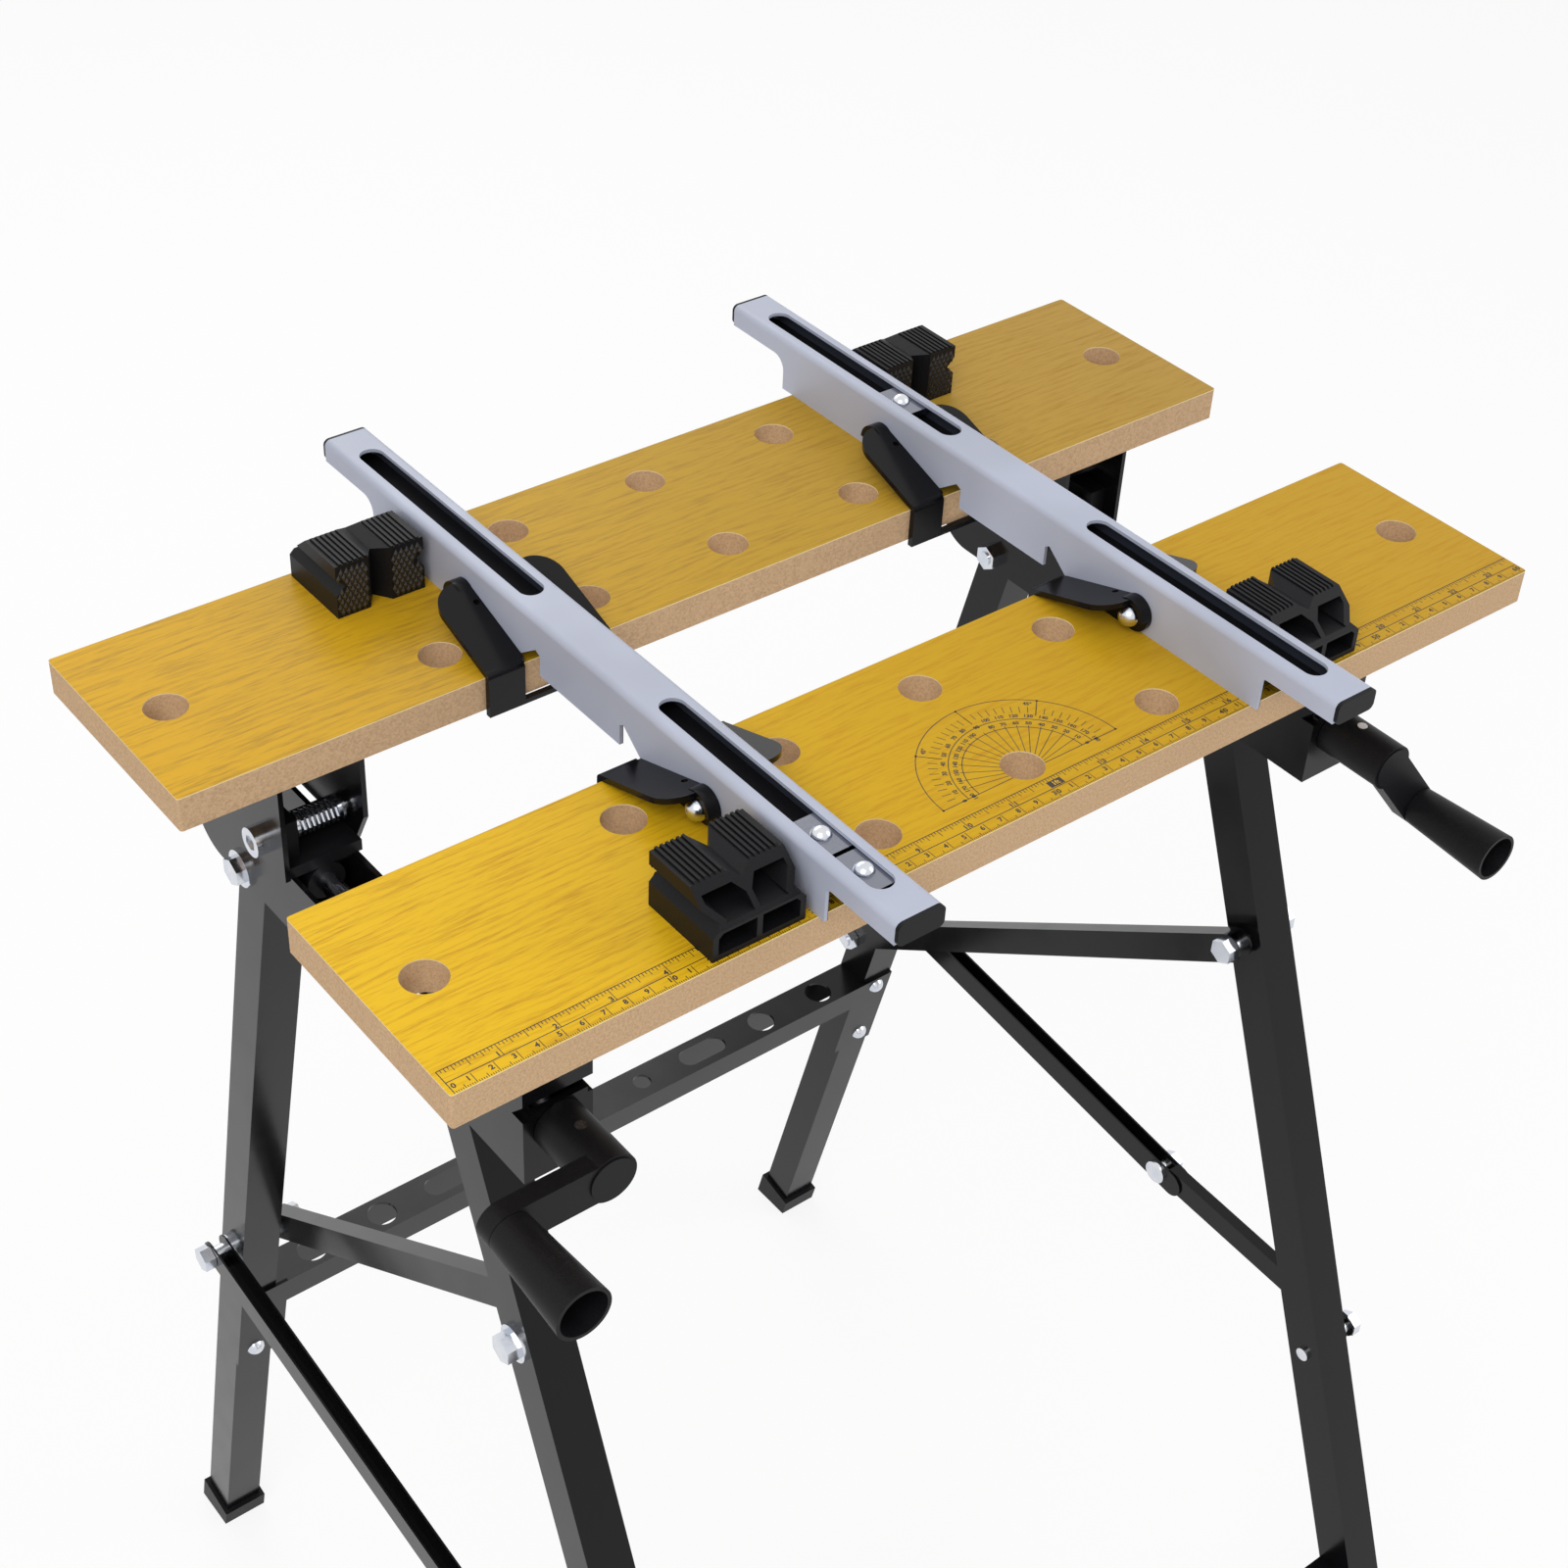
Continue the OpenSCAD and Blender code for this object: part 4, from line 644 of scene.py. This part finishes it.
def print_protractor(ink):
    for turn in (0.0, pi):
        ink.spoke(turn, hole_edge(turn), ARC_R + LINE_W, LINE_W)
    for radius in (ARC_R, MIDDLE_ARC_R, INNER_ARC_R):
        ink.arc(radius, LINE_W)
    for angle in range(0, HALF_TURN + 1, EIGHTH_TURN):
        ink.dot(polar(ARC_R, radians(angle)), ARC_DOT_R)
    for angle in range(TICK_STEP, HALF_TURN, TICK_STEP):
        ink.spoke(radians(angle), TICK_INNER_R, TICK_OUTER_R, TICK_W)
    for angle in range(EIGHTH_TURN, HALF_TURN, EIGHTH_TURN):
        ink.spoke(radians(angle), LONG_TICK_INNER_R, ARC_R, LINE_W)
    for angle in (EIGHTH_TURN + TICK_STEP, HALF_TURN - EIGHTH_TURN - TICK_STEP):
        ink.word("45°", polar(DEGREE_MARK_R, radians(angle)), ARC_DIGIT_H, radians(angle - QUARTER_TURN))
    for angle in range(DIGIT_STEP, HALF_TURN, DIGIT_STEP):
        turn = radians(angle)
        ink.spoke(turn, hole_edge(turn), HOLE_TICK_OUTER_R, TICK_W)
    for angle in range(0, HALF_TURN + 1, DIGIT_STEP):
        turn = radians(angle)
        if angle == QUARTER_TURN:
            ink.word(str(angle), polar(MIDDLE_DIGIT_R, turn), ARC_DIGIT_H)
        else:
            upright = radians(angle - QUARTER_TURN)
            ink.word(str(HALF_TURN - angle), polar(OUTER_DIGIT_R, turn), ARC_DIGIT_H, upright)
            ink.word(str(angle), polar(INNER_DIGIT_R, turn), ARC_DIGIT_H, upright)


def make_print():
    ink = Print()
    cut_out = Print()
    ink.upright(SCALE_LEFT, SCALE_FRONT, SCALE_BACK, LINE_W)
    for y in (DIVIDER_Y, SCALE_BACK):
        ink.line((SCALE_LEFT, y), (SCALE_RIGHT, y), LINE_W)
    print_centimetres(ink)
    print_inches(ink, cut_out)
    print_protractor(ink)
    ink.piece("jaw_scales", ink_material("scale_ink", INK))
    cut_out.piece("jaw_foot_mark", ink_material("scale_yellow", YELLOW_RIGHT))


# Diamond studs on a dog's working face, in millimetres
STUD_W = 2.8
STUD_H = 5.2
STUD_LIFT = 0.8
STUD_SINK = 0.05

# What the studs keep clear of: half the upright groove, the side grooves and their height, the top rib
DOG_VEE_HALF = 5.8
DOG_GROOVE = 4.5
DOG_GROOVE_Z = 16.4
DOG_RIB_H = 0.9


def stud_places(half, height):
    """Middles of the studs that lie whole between the upright groove and the dog's grooved side."""
    places = []
    for row in range(1, int(2 * height / STUD_H)):
        z = row * STUD_H / 2
        groove = max(0.0, DOG_GROOVE - abs(z - DOG_GROOVE_Z))
        for column in range(int(2 * half / STUD_W)):
            x = DOG_VEE_HALF + (column + 1) * STUD_W / 2
            whole = x + STUD_W / 2 <= half - groove and z + STUD_H / 2 <= height
            if (row + column) % 2 == 0 and whole:
                places += [(x, z), (-x, z)]
    return places


def make_studs(node, toward):
    """Four-sided studs on the face of a dog that looks to the back (1) or to the front (-1)."""
    low, high = (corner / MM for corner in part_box(node))
    middle = (low.x + high.x) / 2
    face = high.y if toward > 0 else low.y
    top = JAW_TOP / MM
    base = [(-STUD_W / 2, 0), (0, -STUD_H / 2), (STUD_W / 2, 0), (0, STUD_H / 2)]
    offsets = [(dx, 0, dz) for dx, dz in base] + [(0, toward * STUD_LIFT, 0)]
    peak = len(base)
    sides = [(corner, (corner + 1) % peak, peak) for corner in range(peak)]
    sides.append(tuple(reversed(range(peak))))
    if toward > 0:
        sides = [tuple(reversed(side)) for side in sides]
    points = []
    faces = []
    for x, z in stud_places((high.x - low.x) / 2, high.z - top - DOG_RIB_H):
        start = len(points)
        y = face - toward * STUD_SINK
        points += [((middle + x + dx) * MM, (y + dy) * MM, (top + z + dz) * MM) for dx, dy, dz in offsets]
        faces += [tuple(start + index for index in side) for side in sides]
    piece = mesh_object(node + "_studs", points, faces, STUD_PLASTIC)
    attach(piece, node)


def make_dog_studs():
    for side in ("left", "right"):
        make_studs("dog_front_" + side, 1)
        make_studs("dog_rear_" + side, -1)


def seen_itself(tree):
    """1 on rays from the camera, in a reflection or through clear matter, and 0 on all others."""
    rays = tree.nodes.new("ShaderNodeLightPath")
    seen = rays.outputs["Is Camera Ray"]
    for kind in ("Is Glossy Ray", "Is Transmission Ray"):
        either = tree.nodes.new("ShaderNodeMath")
        either.operation = "MAXIMUM"
        tree.links.new(seen, either.inputs[0])
        tree.links.new(rays.outputs[kind], either.inputs[1])
        seen = either.outputs[0]
    return seen


def show_blend(tree, factor, first, second, output):
    """Gives an output node the blend of two shaders."""
    blend = tree.nodes.new("ShaderNodeMixShader")
    for source, socket in zip((factor, first, second), blend.inputs):
        tree.links.new(source, socket)
    tree.links.new(blend.outputs[0], tree.nodes[output].inputs["Surface"])


def stage_material(name):
    """Pale stage whose own light shows only to the camera and in reflections."""
    shader = Shader(name)
    shader.set(Base_Color=FLOOR_COLOUR, Roughness=FLOOR_ROUGHNESS)
    light = shader.add("ShaderNodeEmission")
    light.inputs["Color"].default_value = WHITE
    seen = shader.math("MULTIPLY", seen_itself(shader.tree), FLOOR_GLOW)
    show_blend(shader.tree, seen, shader.surface.outputs[0], light.outputs[0], "Material Output")
    return shader.material


def make_stage():
    half = FLOOR_HALF
    points = [(-half, -half, 0.0), (half, -half, 0.0), (half, half, 0.0), (-half, half, 0.0)]
    floor = mesh_object("studio_floor", points, [(0, 1, 2, 3)], stage_material("studio_white"))


def make_world():
    """Soft light all round, and plain white where the camera or a reflection sees the world itself."""
    world = bpy.data.worlds.new("studio")
    bpy.context.scene.world = world
    world.use_nodes = True
    tree = world.node_tree
    soft = tree.nodes["Background"]
    white = tree.nodes.new("ShaderNodeBackground")
    for background, strength in ((soft, SOFT_STRENGTH), (white, WHITE_STRENGTH)):
        background.inputs["Color"].default_value = WHITE
        background.inputs["Strength"].default_value = strength
    show_blend(tree, seen_itself(tree), soft.outputs[0], white.outputs[0], "World Output")


def area_light(name, place, size, power):
    lamp = bpy.data.lights.new(name, "AREA")
    lamp.shape = "RECTANGLE"
    lamp.size = size[0]
    lamp.size_y = size[1]
    lamp.energy = power
    light = bpy.data.objects.new(name, lamp)
    bpy.context.scene.collection.objects.link(light)
    light.location = place
    light.rotation_euler = (LAMP_TARGET - Vector(place)).to_track_quat("-Z", "Y").to_euler()


def make_lights():
    area_light("key_light", place=(-1.6, -1.2, 2.6), size=(1.6, 1.6), power=34.0)
    area_light("fill_light", place=(2.2, -1.4, 1.8), size=(1.4, 1.8), power=16.0)
    area_light("back_light", place=(0.4, 2.4, 2.2), size=(2.2, 1.2), power=22.0)


def make_camera():
    camera = bpy.data.cameras.new("photo_camera")
    camera.sensor_width = SENSOR_MM
    camera.lens = FOCAL_MM
    camera.clip_start = CLIP_START
    view = bpy.data.objects.new("photo_camera", camera)
    bpy.context.scene.collection.objects.link(view)
    turn = Euler([radians(angle) for angle in CAMERA_TURNS]).to_matrix().to_4x4()
    view.matrix_world = Matrix.Translation(CAMERA_PLACE) @ turn
    bpy.context.scene.camera = view


dress_frame()
make_print()
make_dog_studs()
make_stage()
make_world()
make_lights()
make_camera()
bpy.context.scene.view_settings.view_transform = "Standard"
